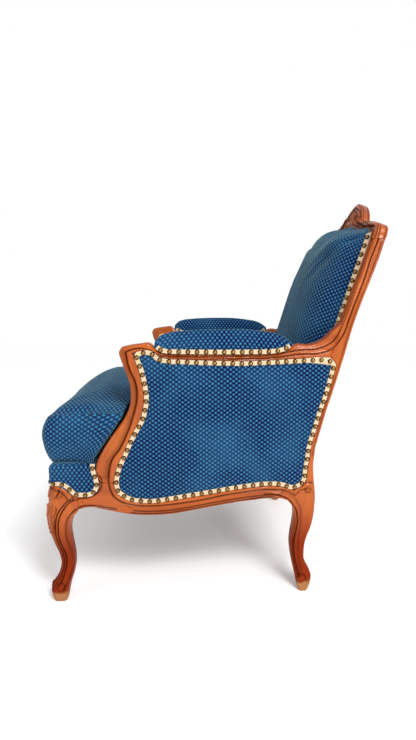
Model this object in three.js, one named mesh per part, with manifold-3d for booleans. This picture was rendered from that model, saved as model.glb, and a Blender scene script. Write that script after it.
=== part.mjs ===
// A bergere: a carved and moulded beech armchair with closed upholstered sides, a raked back and a loose
// seat cushion. Millimetres, +Z up. The sitter looks along -Y and the sitter's left is +X. The origin lies on
// the floor under the middle of the overall box. Each named mesh is one physical piece.
import * as THREE from "three";
import { mergeVertices } from "three/addons/utils/BufferGeometryUtils.js";
import Module from "manifold-3d";

const wasm = await Module();
wasm.setup();

// Driving dimensions of the chair
const seatDepth = 649; // nose of the front leg to the back of the rear post at the seat
const backRake = 186; // how far the shoulders lean out behind the rear posts
const railHeight = 230; // underside of the side rail where it meets the front leg
const armHeight = 619; // front corner of the arm
const chairHeight = 991; // top of the crest
const frontHalfWidth = 335; // middle of the chair to the outer face of the front leg, at the floor
const rearHalfWidth = 267; // the same at the rear legs
const armFlare = 25; // how far the arms stand out beyond the feet
const clearance = 0.3; // between pieces that touch
const weldDistance = 0.0001; // points closer than this are one point

// Sections of the frame
const frameThickness = 38; // side rails, arm supports and arms
const rebateDepth = 9; // step that the upholstery is tacked into
const lipWidth = 12; // wood behind the edge of a covering
const edgeRound = 5; // rounded outer edges
const beadWidth = 9; // outer bead of the moulding
const grooveWidth = 3; // groove beside the bead
const grooveDepth = 2.5;
const legBlock = 66; // width of the front leg's top
const legDepth = 70.7; // the same from front to back
const frontLegFlare = 22; // outward kick of the front foot
const rearLegFlare = 30; // outward kick of the rear foot
const legNose = 2; // how far the front knee stands proud of the side
const postFaceWidth = 36; // moulded face of the back frame that shows
const postWidth = 46; // whole width of the rear post
const footWidth = 34; // width of the rear foot
const crossRailThickness = 36; // front rail
const rearRailThickness = 30;
const lowerRailHeight = 50;
const tenonLength = 24;
const tenonThickness = 10;
const tenonShoulder = 10; // from the edge of a rail to its tenon
const tenonOverrun = 6; // a tongue starts this far inside its own piece
const padStep = 8; // step in the back frame for its coverings

// Upholstery
const fabricSkin = 5; // padded cover in a rebate
const coverCrown = 4; // swell in the middle of a cover
const gimpWidth = 12;
const gimpThickness = 2;
const coverBorder = gimpWidth + 3; // flat border of a cover, which the gimp lies on
const backPadCrown = 78;
const backPadRoll = 98; // width of the rounded border of the back pad
const backPadBorder = 11; // flat border of the back pad under its gimp
const innerPadThickness = 18;
const innerPadRoll = 26;
const armPadOverhang = 4;
const hessianThickness = 1.2;
const webWidth = 50;
const webThickness = 1.6;
const dustCoverThickness = 1.2;
const springWire = 3.6;
const springRadius = 34;
const springWaist = 24;
const deckThickness = 47; // sprung platform, above the rails
const deckRoll = 12; // rounded edge of the platform
const skirtFace = 1; // the border's fabric lies this far behind the wood's outer face
const padFootGap = 7.6; // the inner pads end this far above the platform
const cushionBoxing = 122; // height of the cushion's sides
const cushionCrown = 54; // rise of the cushion above its top seam
const cushionProud = 14; // how far the cushion stands out in front of the platform
const cushionCorner = 30;
const deckCorner = 15;
const cushionSideGap = 3; // the loose cushion clears its neighbours by this much
const cushionDrawIn = 14; // the boxing's lower edge is drawn in by this much
const blockLeg = 46; // how far a corner block runs along each rail

// Counts
const springRows = 3;
const springTurns = 3;
const webStraps = 4;
const tubeSides = 4;
const turnSteps = 8;

const taper = (frontHalfWidth - rearHalfWidth) / seatDepth;
const flare = armFlare / armHeight;

const finishes = {
  wood: new THREE.MeshStandardMaterial({ color: 0xb5652f, roughness: 0.38, metalness: 0 }),
  innerWood: new THREE.MeshStandardMaterial({ color: 0xc9a271, roughness: 0.7, metalness: 0 }),
  fabric: new THREE.MeshStandardMaterial({ color: 0x1f5a8c, roughness: 0.85, metalness: 0 }),
  gimp: new THREE.MeshStandardMaterial({ color: 0xe6dcc0, roughness: 0.9, metalness: 0 }),
  webbing: new THREE.MeshStandardMaterial({ color: 0xb99a6b, roughness: 0.9, metalness: 0 }),
  hessian: new THREE.MeshStandardMaterial({ color: 0xa88c5c, roughness: 0.95, metalness: 0 }),
  steel: new THREE.MeshStandardMaterial({ color: 0x8b8d90, roughness: 0.4, metalness: 1 }),
  dustCover: new THREE.MeshStandardMaterial({ color: 0x1d1d20, roughness: 0.95, metalness: 0 }),
};

// Heights are written in storeys: 0 is the floor, 1 the side rail, 2 the arm and 3 the crest.
const storeys = [0, railHeight, armHeight, chairHeight];

function rise(share) {
  const storey = Math.min(Math.floor(share), storeys.length - 2);
  return THREE.MathUtils.lerp(storeys[storey], storeys[storey + 1], share - storey);
}

const railTopShare = 1.17;
const deckHeight = rise(railTopShare) + deckThickness;
const padFoot = deckHeight + padFootGap;
const cushionSeamHeight = deckHeight + clearance + cushionBoxing;

// Depths run from 0 at the front leg to 1 at the rear post and on to 2 behind the shoulders.
function run(share) {
  return share <= 1 ? share * seatDepth : seatDepth + (share - 1) * backRake;
}

// The outer face of the chair's side at a depth and a height.
function outerFace(y, z) {
  return frontHalfWidth - taper * y + flare * z;
}

function sidePoint(y, z, depth) {
  return new THREE.Vector3(outerFace(y, z) + depth, y, z);
}

// Solids

function outward(geometry) {
  const p = geometry.getAttribute("position");
  const index = geometry.index.array;
  const corner = [new THREE.Vector3(), new THREE.Vector3(), new THREE.Vector3()];
  let volume = 0;
  for (let i = 0; i < index.length; i += 3) {
    corner.forEach((c, k) => c.fromBufferAttribute(p, index[i + k]));
    volume += corner[0].dot(corner[1].cross(corner[2]));
  }
  if (volume < 0) {
    for (let i = 0; i < index.length; i += 3) {
      [index[i + 1], index[i + 2]] = [index[i + 2], index[i + 1]];
    }
  }
  geometry.computeVertexNormals();
  return geometry;
}

function surface(points, faces) {
  const geometry = new THREE.BufferGeometry().setFromPoints(points);
  geometry.setIndex(faces);
  return outward(geometry);
}

// Flattens a ring onto its own plane and cuts it into triangles that keep the ring's direction.
function capFaces(ring) {
  const normal = new THREE.Vector3();
  ring.forEach((p, i) => {
    normal.add(p.clone().cross(ring[(i + 1) % ring.length]));
  });
  normal.normalize();
  const across = new THREE.Vector3(normal.z, normal.x, normal.y).cross(normal).normalize();
  const along = normal.clone().cross(across);
  const flat = ring.map((p) => new THREE.Vector2(p.dot(across), p.dot(along)));
  return THREE.ShapeUtils.triangulateShape(flat, []).map(([a, b, c]) => {
    const turn = flat[b].clone().sub(flat[a]).cross(flat[c].clone().sub(flat[a]));
    return turn > 0 ? [a, b, c] : [a, c, b];
  });
}

function ringWalls(ringCount, size, closed) {
  const faces = [];
  const spans = closed ? ringCount : ringCount - 1;
  for (let i = 0; i < spans; i += 1) {
    for (let j = 0; j < size; j += 1) {
      const next = (j + 1) % size;
      const here = i * size;
      const there = ((i + 1) % ringCount) * size;
      faces.push(here + j, here + next, there + next, here + j, there + next, there + j);
    }
  }
  return faces;
}

// A closed solid carried through rings of points.
function loft(rings, closed = false) {
  const size = rings[0].length;
  const faces = ringWalls(rings.length, size, closed);
  if (!closed) {
    const last = (rings.length - 1) * size;
    capFaces(rings[0]).forEach(([a, b, c]) => faces.push(a, c, b));
    capFaces(rings.at(-1)).forEach(([a, b, c]) => faces.push(last + a, last + b, last + c));
  }
  return surface(rings.flat(), faces);
}

// A domed solid: rings that shrink to one point on the face and one point on the back.
function dome(rings, backPoint, facePoint) {
  const size = rings[0].length;
  const faces = ringWalls(rings.length, size, false);
  const points = [...rings.flat(), backPoint, facePoint];
  const last = (rings.length - 1) * size;
  for (let j = 0; j < size; j += 1) {
    const next = (j + 1) % size;
    faces.push(points.length - 2, next, j);
    faces.push(points.length - 1, last + j, last + next);
  }
  return surface(points, faces);
}

// A plan carried straight from one depth to another.
function prism(outline, centre, place, near, far) {
  const rings = [near, far].map((depth) => outline.map((p) => place(p.x, p.y, depth)));
  return dome(rings, place(centre.x, centre.y, near), place(centre.x, centre.y, far));
}

function solidOf(geometry) {
  const bare = geometry.clone();
  bare.deleteAttribute("normal");
  bare.deleteAttribute("uv");
  const merged = mergeVertices(bare, weldDistance);
  return new wasm.Manifold(
    new wasm.Mesh({
      numProp: 3,
      vertProperties: merged.getAttribute("position").array,
      triVerts: new Uint32Array(merged.index.array),
    }),
  );
}

function geometryOf(solid) {
  const mesh = solid.getMesh();
  const geometry = new THREE.BufferGeometry();
  geometry.setAttribute("position", new THREE.BufferAttribute(mesh.vertProperties, 3));
  geometry.setIndex(new THREE.BufferAttribute(mesh.triVerts, 1));
  geometry.computeVertexNormals();
  return geometry;
}

function joined(geometry, ...others) {
  return geometryOf(others.reduce((whole, other) => whole.add(solidOf(other)), solidOf(geometry)));
}

function cut(geometry, ...tools) {
  return geometryOf(tools.reduce((whole, tool) => whole.subtract(solidOf(tool)), solidOf(geometry)));
}

// A box between two corners, as wide as its name says and grown by a margin on every side.
function block(low, high, margin = 0) {
  const size = high.clone().sub(low).addScalar(2 * margin);
  const middle = low.clone().add(high).multiplyScalar(0.5);
  return new THREE.BoxGeometry(size.x, size.y, size.z).translate(middle.x, middle.y, middle.z);
}

// Moves each edge of a closed plan inwards by a distance; the corners keep their mitres.
function inset(outline, distance) {
  const turn = Math.sign(THREE.ShapeUtils.area(outline));
  const inwards = (from, to) => {
    const along = to.clone().sub(from).normalize();
    return new THREE.Vector2(-along.y, along.x).multiplyScalar(turn);
  };
  return outline.map((p, i) => {
    const before = inwards(outline.at(i - 1), p);
    const after = inwards(p, outline[(i + 1) % outline.length]);
    const mitre = before.clone().add(after).divideScalar(1 + before.dot(after));
    return p.clone().addScaledVector(mitre, distance);
  });
}

const gimpSlopeShare = 0.15; // sloped edge of a gimp, of its width

// A gimp laid along a plan, flat underneath with sloped edges, on a face at a depth. It stands out towards
// one side of that face, and where points of the plan's end are left out it is open there.
function gimpAlong(outline, gap, place, depth, side, leftOut = 0) {
  const outer = inset(outline, gap);
  const inner = inset(outline, gap + gimpWidth);
  const face = depth + side * gimpThickness;
  const rings = outer.map((p, i) => {
    const q = inner[i];
    const low = p.clone().lerp(q, gimpSlopeShare);
    const high = p.clone().lerp(q, 1 - gimpSlopeShare);
    return [
      place(p.x, p.y, depth),
      place(q.x, q.y, depth),
      place(high.x, high.y, face),
      place(low.x, low.y, face),
    ];
  });
  return loft(rings.slice(0, rings.length - leftOut), leftOut === 0);
}

function towards(outline, centre, share) {
  return outline.map((p) => p.clone().lerp(centre, share));
}

// A row of a bar's section: the edge it hangs on, its distance in from that edge and its depth.
const OUTER = 0;
const INNER = 1;

// A bar between two edges that are matched row by row, with one section carried along it.
function bar(rows, section, place) {
  const rings = rows.map(([outer, inner]) => {
    const across = inner.clone().sub(outer).normalize();
    return section.map(([edge, offset, depth]) => {
      const at = edge === OUTER
        ? outer.clone().addScaledVector(across, offset)
        : inner.clone().addScaledVector(across, -offset);
      return place(at.x, at.y, depth);
    });
  });
  return loft(rings);
}

// Side frame: rear post, front leg, side rail, arm support and arm, all outlined in depth and height shares

// Height, front edge and back edge of the rear post, from the foot to the shoulder.
const rearJointShare = 0.8955;
const armRootShare = 1.923;
const armHornShare = 2.142;
const postTopShare = 2.66;
const postShares = [
  [0, 0.94, 0.971],
  [0.05, 0.933, 0.981],
  [0.1, 0.93, 0.986],
  [0.16, 0.925, 0.988],
  [0.25, 0.918, 0.972],
  [0.33, 0.912, 0.961],
  [0.41, 0.908, 0.96],
  [0.5, 0.906, 0.963],
  [0.59, 0.909, 0.972],
  [0.69, 0.915, 0.986],
  [0.79, 0.919, 0.994],
  [0.88, 0.917, 0.998],
  [0.95, 0.907, 0.999],
  [0.99, rearJointShare, 1],
  [railTopShare, rearJointShare, 0.99],
  [1.21, 0.912, 0.988],
  [1.3, 0.935, 0.991],
  [1.39, 0.944, 1],
  [1.49, 0.958, 1.05],
  [1.6, 0.975, 1.108],
  [1.7, 0.995, 1.17],
  [1.82, 1.044, 1.24],
  [armRootShare, 1.108, 1.297],
  [armHornShare, 1.25, 1.411],
  [2.26, 1.335, 1.486],
  [2.42, 1.443, 1.6],
  [2.58, 1.55, 1.706],
  [postTopShare, 1.6, 1.75],
];

// Height, front edge and back edge as shares of the leg's depth, and inner face as a share of its width, from
// the foot over ankle and knee to the block.
const blockStartShare = 0.985;
const frontLegShares = [
  [0, 0.13, 0.524, 0.16],
  [0.035, 0.076, 0.552, 0.21],
  [0.09, 0.04, 0.58, 0.27],
  [0.135, 0.024, 0.608, 0.33],
  [0.18, 0.06, 0.638, 0.385],
  [0.23, 0.175, 0.69, 0.46],
  [0.28, 0.245, 0.722, 0.52],
  [0.34, 0.288, 0.748, 0.575],
  [0.4, 0.288, 0.754, 0.602],
  [0.45, 0.264, 0.75, 0.62],
  [0.51, 0.22, 0.732, 0.622],
  [0.575, 0.155, 0.708, 0.617],
  [0.64, 0.1, 0.688, 0.612],
  [0.71, 0.045, 0.666, 0.606],
  [0.78, 0.01, 0.67, 0.626],
  [0.85, -0.02, 0.72, 0.69],
  [0.915, -0.04, 0.83, 0.82],
  [0.955, -0.045, 0.925, 0.94],
  [blockStartShare, -0.035, 1, 1],
  [1.07, 0, 1, 1],
  [1.12, 0.06, 1, 1],
  [railTopShare, 0.13, 1, 1],
];

// Depth, lower edge and upper edge of the side rail's moulded face. It rises to carry the arm support.
const supportSeatShare = 1.166;
const sideRailShares = [
  [legDepth / seatDepth, 0.996, 1.08],
  [0.142, 1.008, 1.078],
  [0.176, 1.003, 1.098],
  [0.19, 0.991, 1.13],
  [0.195, 0.988, supportSeatShare],
  [0.238, 0.958, supportSeatShare],
  [0.244, 0.953, 1.125],
  [0.252, 0.947, 1.09],
  [0.265, 0.938, 1.072],
  [0.284, 0.926, 1.048],
  [0.312, 0.913, 1.03],
  [0.343, 0.904, 1.022],
  [0.389, 0.898, 1.018],
  [0.451, 0.904, 1.031],
  [0.529, 0.935, 1.049],
  [0.606, 0.97, 1.067],
  [0.683, 1.001, 1.085],
  [0.76, 1.014, 1.1],
  [0.83, 1.022, 1.105],
  [0.869, 1.015, 1.096],
  [rearJointShare, 1, 1.082],
];

// Front edge and inner edge of the arm support, matched row by row from the mitre at the arm to the rail.
const supportShares = [
  [0.284, 2, 0.321, 1.961],
  [0.274, 1.97, 0.326, 1.94],
  [0.277, 1.94, 0.331, 1.91],
  [0.288, 1.885, 0.34, 1.87],
  [0.3, 1.825, 0.348, 1.815],
  [0.309, 1.765, 0.354, 1.755],
  [0.31, 1.7, 0.357, 1.69],
  [0.305, 1.64, 0.353, 1.63],
  [0.285, 1.57, 0.341, 1.56],
  [0.258, 1.505, 0.318, 1.49],
  [0.23, 1.44, 0.295, 1.415],
  [0.204, 1.37, 0.277, 1.345],
  [0.184, 1.305, 0.26, 1.285],
  [0.176, 1.245, 0.247, 1.225],
  [0.189, railTopShare, 0.241, railTopShare],
];

// Upper edge and lower edge of the arm, from the mitre to the horn on the rear post.
const armShares = [
  [0.284, 2, 0.321, 1.961],
  [0.312, 2.011, 0.334, 1.972],
  [0.346, 2.019, 0.352, 1.979],
  [0.379, 2.022, 0.379, 1.982],
  [0.399, 1.995, 0.397, 1.969],
  [0.417, 1.969, 0.414, 1.943],
  [0.444, 1.959, 0.44, 1.931],
  [0.49, 1.956, 0.49, 1.925],
  [0.567, 1.954, 0.567, 1.918],
  [0.64, 1.952, 0.64, 1.913],
  [0.706, 1.951, 0.706, 1.91],
  [0.791, 1.951, 0.791, 1.913],
  [0.838, 1.956, 0.838, 1.915],
  [0.869, 1.969, 0.866, 1.918],
  [0.89, 1.995, 0.887, 1.919],
  [0.915, 2.008, 0.912, 1.92],
  [0.949, 2.005, 0.937, 1.923],
  [0.983, 2.016, 0.958, 1.925],
  [1.045, 2.045, 0.98, 1.925],
  [1.12, 2.085, 1.02, 1.924],
];

// Length and top of the arm pad between the arm's two knobs.
const armPadShares = [
  [0.399, 2.035],
  [0.417, 2.066],
  [0.444, 2.084],
  [0.49, 2.095],
  [0.567, 2.104],
  [0.64, 2.106],
  [0.706, 2.105],
  [0.791, 2.09],
  [0.838, 2.075],
  [0.869, 2.05],
  [0.89, 2.022],
];

const at = (depthShare, heightShare) => new THREE.Vector2(run(depthShare), rise(heightShare));
const edgeRows = (shares) => shares.map(([a, b, c, d]) => [at(a, b), at(c, d)]);

// The front face of the rear post at a height.
function postFront(z) {
  const rows = postShares.map(([height, front]) => [rise(height), run(front)]);
  const upper = rows.findIndex(([height]) => height >= z);
  const [lowZ, lowY] = rows[upper - 1];
  const [highZ, highY] = rows[upper];
  return THREE.MathUtils.mapLinear(z, lowZ, highZ, lowY, highY);
}

// The step back from the face, which the back's coverings are tacked in, fades in above the seat.
const padStepFullShare = 1.39;

function rearPost() {
  const rings = postShares.map(([heightShare, frontShare, backShare]) => {
    const z = rise(heightShare);
    const front = run(frontShare);
    const back = run(backShare);
    const low = THREE.MathUtils.clamp(1 - heightShare, 0, 1);
    const out = rearLegFlare * low * low;
    const inner = out - THREE.MathUtils.lerp(postWidth, footWidth, low);
    const step = THREE.MathUtils.smoothstep(heightShare, railTopShare, padStepFullShare) * padStep;
    const soft = edgeRound - step / 2;
    const lip = THREE.MathUtils.lerp(out - postFaceWidth, inner + soft, low);
    return [
      [front + Math.max(step, soft), inner],
      [front + step, lip],
      [front, lip + clearance],
      [front, out - edgeRound],
      [front + edgeRound, out],
      [back - edgeRound, out],
      [back, out - edgeRound],
      [back, lip + clearance],
      [back - step, lip],
      [back - Math.max(step, soft), inner],
    ].map(([y, depth]) => sidePoint(y, z, depth));
  });
  return loft(rings);
}

// Corners of the leg's section, as shares of its depth and width; the nose is the rounded outer front corner
const legCornerShare = 0.22;
const blockCornerShare = 0.005;
const legNoseShare = 0.32;

function frontLeg() {
  const rings = frontLegShares.map(([heightShare, frontShare, backShare, innerShare]) => {
    const z = rise(heightShare);
    const low = THREE.MathUtils.clamp(1 - heightShare, 0, 1);
    const out = legNose - frontShare * legBlock + frontLegFlare * low * low;
    const inner = -innerShare * legBlock;
    const round = heightShare >= blockStartShare ? blockCornerShare : legCornerShare;
    return [
      [round, 0],
      [0, round],
      [0, 1 - legNoseShare],
      [legNoseShare * 0.35, 1 - legNoseShare * 0.35],
      [legNoseShare, 1],
      [1 - round, 1],
      [1, 1 - round],
      [1, round],
      [1 - round, 0],
    ].map(([depthShare, widthShare]) => {
      const y = legDepth * THREE.MathUtils.lerp(frontShare, backShare, depthShare);
      return sidePoint(y, z, THREE.MathUtils.lerp(inner, out, widthShare));
    });
  });
  return loft(rings);
}

// The moulded face of a side member: rounded edge, bead, groove, flat and rebate.
function mouldedSection(inside) {
  return [
    [OUTER, 0, edgeRound - frameThickness],
    [OUTER, 0, -edgeRound],
    [OUTER, edgeRound / 3, -edgeRound / 3],
    [OUTER, edgeRound, 0],
    [OUTER, beadWidth, 0],
    [OUTER, beadWidth + grooveWidth / 2, -grooveDepth],
    [OUTER, beadWidth + grooveWidth, -grooveDepth / 4],
    [INNER, grooveWidth, -grooveDepth / 4],
    [INNER, 0, -grooveDepth],
    [INNER, 0, -rebateDepth],
    [INNER, -inside, -rebateDepth],
    [INNER, -inside, -frameThickness],
    [OUTER, edgeRound, -frameThickness],
  ];
}

function armSupport() {
  const rows = edgeRows(supportShares);
  const foot = rows.at(-1);
  foot[0].y += clearance;
  foot[1].y += clearance;
  return bar(rows, mouldedSection(lipWidth), sidePoint);
}

function arm() {
  const rows = edgeRows(armShares);
  const mitre = rows[0];
  const offCut = new THREE.Vector2(mitre[1].y - mitre[0].y, mitre[0].x - mitre[1].x).setLength(clearance);
  mitre.forEach((corner) => corner.sub(offCut));
  const horn = rise(armHornShare);
  const root = rise(armRootShare);
  rows.push([
    new THREE.Vector2(postFront(horn) - clearance, horn),
    new THREE.Vector2(postFront(root) - clearance, root),
  ]);
  const round = edgeRound * 0.8;
  const section = [
    [OUTER, 0, round - frameThickness],
    [OUTER, 0, -round],
    [OUTER, round, 0],
    [INNER, round, 0],
    [INNER, 0, -round],
    [INNER, 0, -rebateDepth],
    [INNER, -lipWidth, -rebateDepth],
    [INNER, -lipWidth, -frameThickness],
    [OUTER, round, -frameThickness],
  ];
  return bar(rows, section, sidePoint);
}

// A rail's ring at one place along it: the moulded face, the rebate and the plain wood behind, on
// (height, depth).
function railSection(bottom, top, thickness) {
  const full = rise(railTopShare);
  return [
    [bottom, edgeRound - thickness],
    [bottom, -edgeRound],
    [bottom + edgeRound / 3, -edgeRound / 3],
    [bottom + edgeRound, 0],
    [bottom + beadWidth, 0],
    [bottom + beadWidth + grooveWidth / 2, -grooveDepth],
    [bottom + beadWidth + grooveWidth, -grooveDepth / 4],
    [top - grooveWidth, -grooveDepth / 4],
    [top, -grooveDepth],
    [top, -rebateDepth],
    [full, -rebateDepth],
    [full, -thickness],
    [bottom + edgeRound, -thickness],
  ];
}

function sideRail() {
  const rings = sideRailShares.map(([depthShare, lowShare, highShare], i) => {
    const ends = { 0: clearance, [sideRailShares.length - 1]: -clearance };
    const y = run(depthShare) + (ends[i] ?? 0);
    const section = railSection(rise(lowShare), rise(highShare), frameThickness);
    return section.map(([z, depth]) => sidePoint(y, z, depth));
  });
  return loft(rings);
}

// Front rail: half of its rows as shares of the way from the middle to the leg, with the lower and upper
// edge.
const frontRailShares = [
  [0, 0.885, 1.078],
  [0.07, 0.893, 1.078],
  [0.15, 0.918, 1.078],
  [0.24, 0.928, 1.078],
  [0.38, 0.915, 1.078],
  [0.52, 0.925, 1.078],
  [0.68, 0.962, 1.078],
  [0.82, 0.996, 1.078],
  [0.92, 1.006, 1.078],
  [1, 0.996, 1.08],
];
const frontRailSetBackShare = 0.006;

function mirroredRows(half) {
  return [...half.slice(1).reverse().map(([x, ...rest]) => [-x, ...rest]), ...half];
}

function frontRail() {
  const rings = mirroredRows(frontRailShares).map(([xShare, lowShare, highShare]) => {
    return railSection(rise(lowShare), rise(highShare), crossRailThickness).map(([z, depth]) => {
      const y = run(frontRailSetBackShare) - depth;
      return new THREE.Vector3(xShare * (outerFace(y, z) - legBlock - clearance), y, z);
    });
  });
  return loft(rings);
}

// Rear seat rail, between the posts
const rearRailLowShare = 1.03;
const rearRailBackShare = 0.985;

function rearRail() {
  const back = run(rearRailBackShare);
  const front = back - rearRailThickness;
  const low = rise(rearRailLowShare);
  const high = rise(railTopShare);
  const round = edgeRound / 2;
  const section = [
    [front, low],
    [back - round, low],
    [back, low + round],
    [back, high - round],
    [back - round, high],
    [front, high],
  ];
  const rings = [-1, -0.5, 0, 0.5, 1].map((side) => section.map(([y, z]) => {
    return new THREE.Vector3(side * (outerFace(y, z) - postWidth - clearance), y, z);
  }));
  return loft(rings);
}

// Back frame: heights share the storeys, and depth is counted forwards from the posts' front face
const backFootShare = padStepFullShare;
const backRun = run(postShares.at(-1)[1]) - postFront(rise(backFootShare));
const backRise = rise(postTopShare) - rise(backFootShare);
const rake = Math.atan2(backRun, backRise);

function backPoint(x, z, depth) {
  const y = postFront(rise(backFootShare)) + (z - rise(backFootShare)) * Math.tan(rake);
  return new THREE.Vector3(x, y - depth * Math.cos(rake), z + depth * Math.sin(rake));
}

const postDepth = (run(postShares.at(-1)[2]) - run(postShares.at(-1)[1])) * Math.cos(rake);
const shoulder = outerFace(run(postShares.at(-1)[1]), rise(postTopShare));

// Half of the crest rail: outer edge and inner edge, each as a share of the shoulder's half width and a
// height.
const crestShares = [
  [0, 3, 0, 2.817],
  [0.045, 2.995, 0.04, 2.816],
  [0.13, 2.972, 0.115, 2.812],
  [0.225, 2.933, 0.21, 2.798],
  [0.3, 2.887, 0.29, 2.785],
  [0.355, 2.85, 0.36, 2.774],
  [0.45, 2.832, 0.45, 2.766],
  [0.59, 2.812, 0.57, 2.756],
  [0.74, 2.793, 0.69, 2.747],
  [0.86, 2.775, 0.78, 2.737],
  [0.935, 2.758, 0.83, 2.724],
  [0.98, 2.735, 0.862, 2.705],
  [1, 2.7, 0.874, 2.683],
  [1, postTopShare, 0.8763, postTopShare],
];

function crestRows() {
  const half = crestShares.map(([outerX, outerZ, innerX, innerZ]) => [
    new THREE.Vector2(outerX * shoulder, rise(outerZ)),
    new THREE.Vector2(innerX * shoulder, rise(innerZ)),
  ]);
  half.at(-1)[1].x = shoulder - postFaceWidth;
  const other = half.slice(1).reverse().map((row) => row.map((p) => new THREE.Vector2(-p.x, p.y)));
  return [...other, ...half];
}

function crestRail() {
  const section = [
    [OUTER, 0, edgeRound - postDepth],
    [OUTER, 0, -edgeRound],
    [OUTER, edgeRound, 0],
    [INNER, edgeRound, 0],
    [INNER, 0, -edgeRound / 2],
    [INNER, 0, -padStep],
    [INNER, postFaceWidth - postWidth, -padStep],
    [INNER, postFaceWidth - postWidth, padStep - postDepth],
    [INNER, 0, padStep - postDepth],
    [INNER, 0, -postDepth],
    [OUTER, edgeRound, -postDepth],
  ];
  const seat = rise(postTopShare) + clearance;
  const low = new THREE.Vector3(-chairHeight, 0, 0);
  const high = new THREE.Vector3(chairHeight, 2 * seatDepth, seat);
  return cut(bar(crestRows(), section, backPoint), block(low, high));
}

const lowerRailShare = 1.36;

function lowerBackRail() {
  const low = rise(lowerRailShare);
  const section = [
    [low, -padStep],
    [low + lowerRailHeight, -padStep],
    [low + lowerRailHeight, padStep - postDepth],
    [low, padStep - postDepth],
  ];
  const rings = [-1, 1].map((side) => section.map(([z, depth]) => {
    const place = backPoint(0, z, depth);
    place.x = side * (outerFace(place.y, place.z) - postWidth - clearance);
    return place;
  }));
  return loft(rings);
}

// Coverings

// The inner edge of the side frame, round the opening that the outer side panel fills.
const panelRearShares = [
  [0.907, 1.075],
  [0.93, 1.082],
  [0.95, 1.103],
  [0.96, 1.131],
  [0.966, 1.208],
  [0.971, 1.272],
  [0.975, 1.339],
  [0.983, 1.406],
  [0.995, 1.47],
  [1.016, 1.535],
  [1.054, 1.599],
  [1.097, 1.661],
  [1.13, 1.725],
  [1.162, 1.787],
  [1.189, 1.848],
  [1.2, 1.885],
  [1.17, 1.905],
];
const panelFootShare = [0.243, 1.13];
const panelBottomStart = 7;
const panelTopEnd = 17;
const sideCentreShare = [0.66, 1.52];
const sideCentre = at(...sideCentreShare);

function sideOpening() {
  const front = supportShares.slice(1, -1).map(([, , depth, height]) => at(depth, height));
  const bottom = sideRailShares.slice(panelBottomStart, -1).map(([depth, , height]) => at(depth, height));
  const rear = panelRearShares.map(([depth, height]) => at(depth, height));
  const top = armShares.slice(1, panelTopEnd).reverse().map(([, , depth, height]) => at(depth, height));
  return [...front, at(...panelFootShare), ...bottom, ...rear, ...top];
}

// Cuts the opening's rebate into a side member, as deep as the covering that is tacked there.
function rebated(geometry) {
  return cut(geometry, prism(sideOpening(), sideCentre, sidePoint, -rebateDepth, rebateDepth));
}

function outerSidePanel() {
  const outline = inset(sideOpening(), clearance);
  const base = clearance - rebateDepth;
  const face = base + fabricSkin;
  const place = (depth) => (p) => sidePoint(p.x, p.y, depth);
  const rings = [
    outline.map(place(base)),
    outline.map(place(face)),
    inset(outline, coverBorder).map(place(face)),
    towards(inset(outline, coverBorder), sideCentre, 0.25).map(place(face + coverCrown * 0.75)),
  ];
  return dome(rings, place(base)(sideCentre), place(face + coverCrown)(sideCentre));
}

function outerSideGimp() {
  return gimpAlong(sideOpening(), 2 * clearance, sidePoint, 2 * clearance - rebateDepth + fabricSkin, 1);
}

// Inner side pad: the same opening seen from the seat, from the platform up to the arm. Its front edge, its
// foot as depths alone, and its rear and upper edge.
const innerPadFrontShares = [
  [0.335, 1.91],
  [0.352, 1.83],
  [0.362, 1.7],
  [0.35, 1.6],
  [0.31, 1.48],
  [0.275, 1.38],
];
const innerPadFootShares = [0.262, 0.4, 0.55, 0.7, 0.82, 0.885];
const innerPadRearShares = [
  [0.9, 1.4],
  [0.912, 1.5],
  [0.925, 1.6],
  [0.94, 1.7],
  [0.965, 1.82],
  [0.985, 1.89],
];
const innerPadTopShares = [
  [0.93, 1.91],
  [0.85, 1.91],
  [0.7, 1.9],
  [0.55, 1.91],
  [0.42, 1.925],
];

function innerPadOutline() {
  const places = (shares) => shares.map(([depth, height]) => at(depth, height));
  const foot = innerPadFootShares.map((share) => new THREE.Vector2(run(share), padFoot));
  return [...places(innerPadFrontShares), ...foot, ...places(innerPadRearShares), ...places(innerPadTopShares)];
}

function innerSidePad() {
  const outline = innerPadOutline();
  const base = -frameThickness - clearance;
  const place = (depth) => (p) => sidePoint(p.x, p.y, depth);
  const rings = [
    outline.map(place(base)),
    outline.map(place(base - innerPadThickness * 0.35)),
    inset(outline, innerPadRoll * 0.4).map(place(base - innerPadThickness * 0.75)),
    inset(outline, innerPadRoll).map(place(base - innerPadThickness * 0.95)),
    towards(inset(outline, innerPadRoll), sideCentre, 0.4).map(place(base - innerPadThickness)),
  ];
  return dome(rings, place(base)(sideCentre), place(base - innerPadThickness)(sideCentre));
}

// The gimp follows the pad's top edge and front edge, and stops at the platform.
function innerSideGimp() {
  const outline = innerPadOutline();
  const start = -innerPadTopShares.length - 1;
  const turned = [...outline.slice(start), ...outline.slice(0, start)];
  const leftOut = innerPadFootShares.length + innerPadRearShares.length - 1;
  return gimpAlong(turned, -clearance - gimpWidth, sidePoint, -frameThickness - clearance, -1, leftOut);
}

// The arm's top at one of its rows
function armTop(depthShare) {
  const row = armShares.find(([depth]) => depth === depthShare);
  return rise(row[1]);
}

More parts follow.
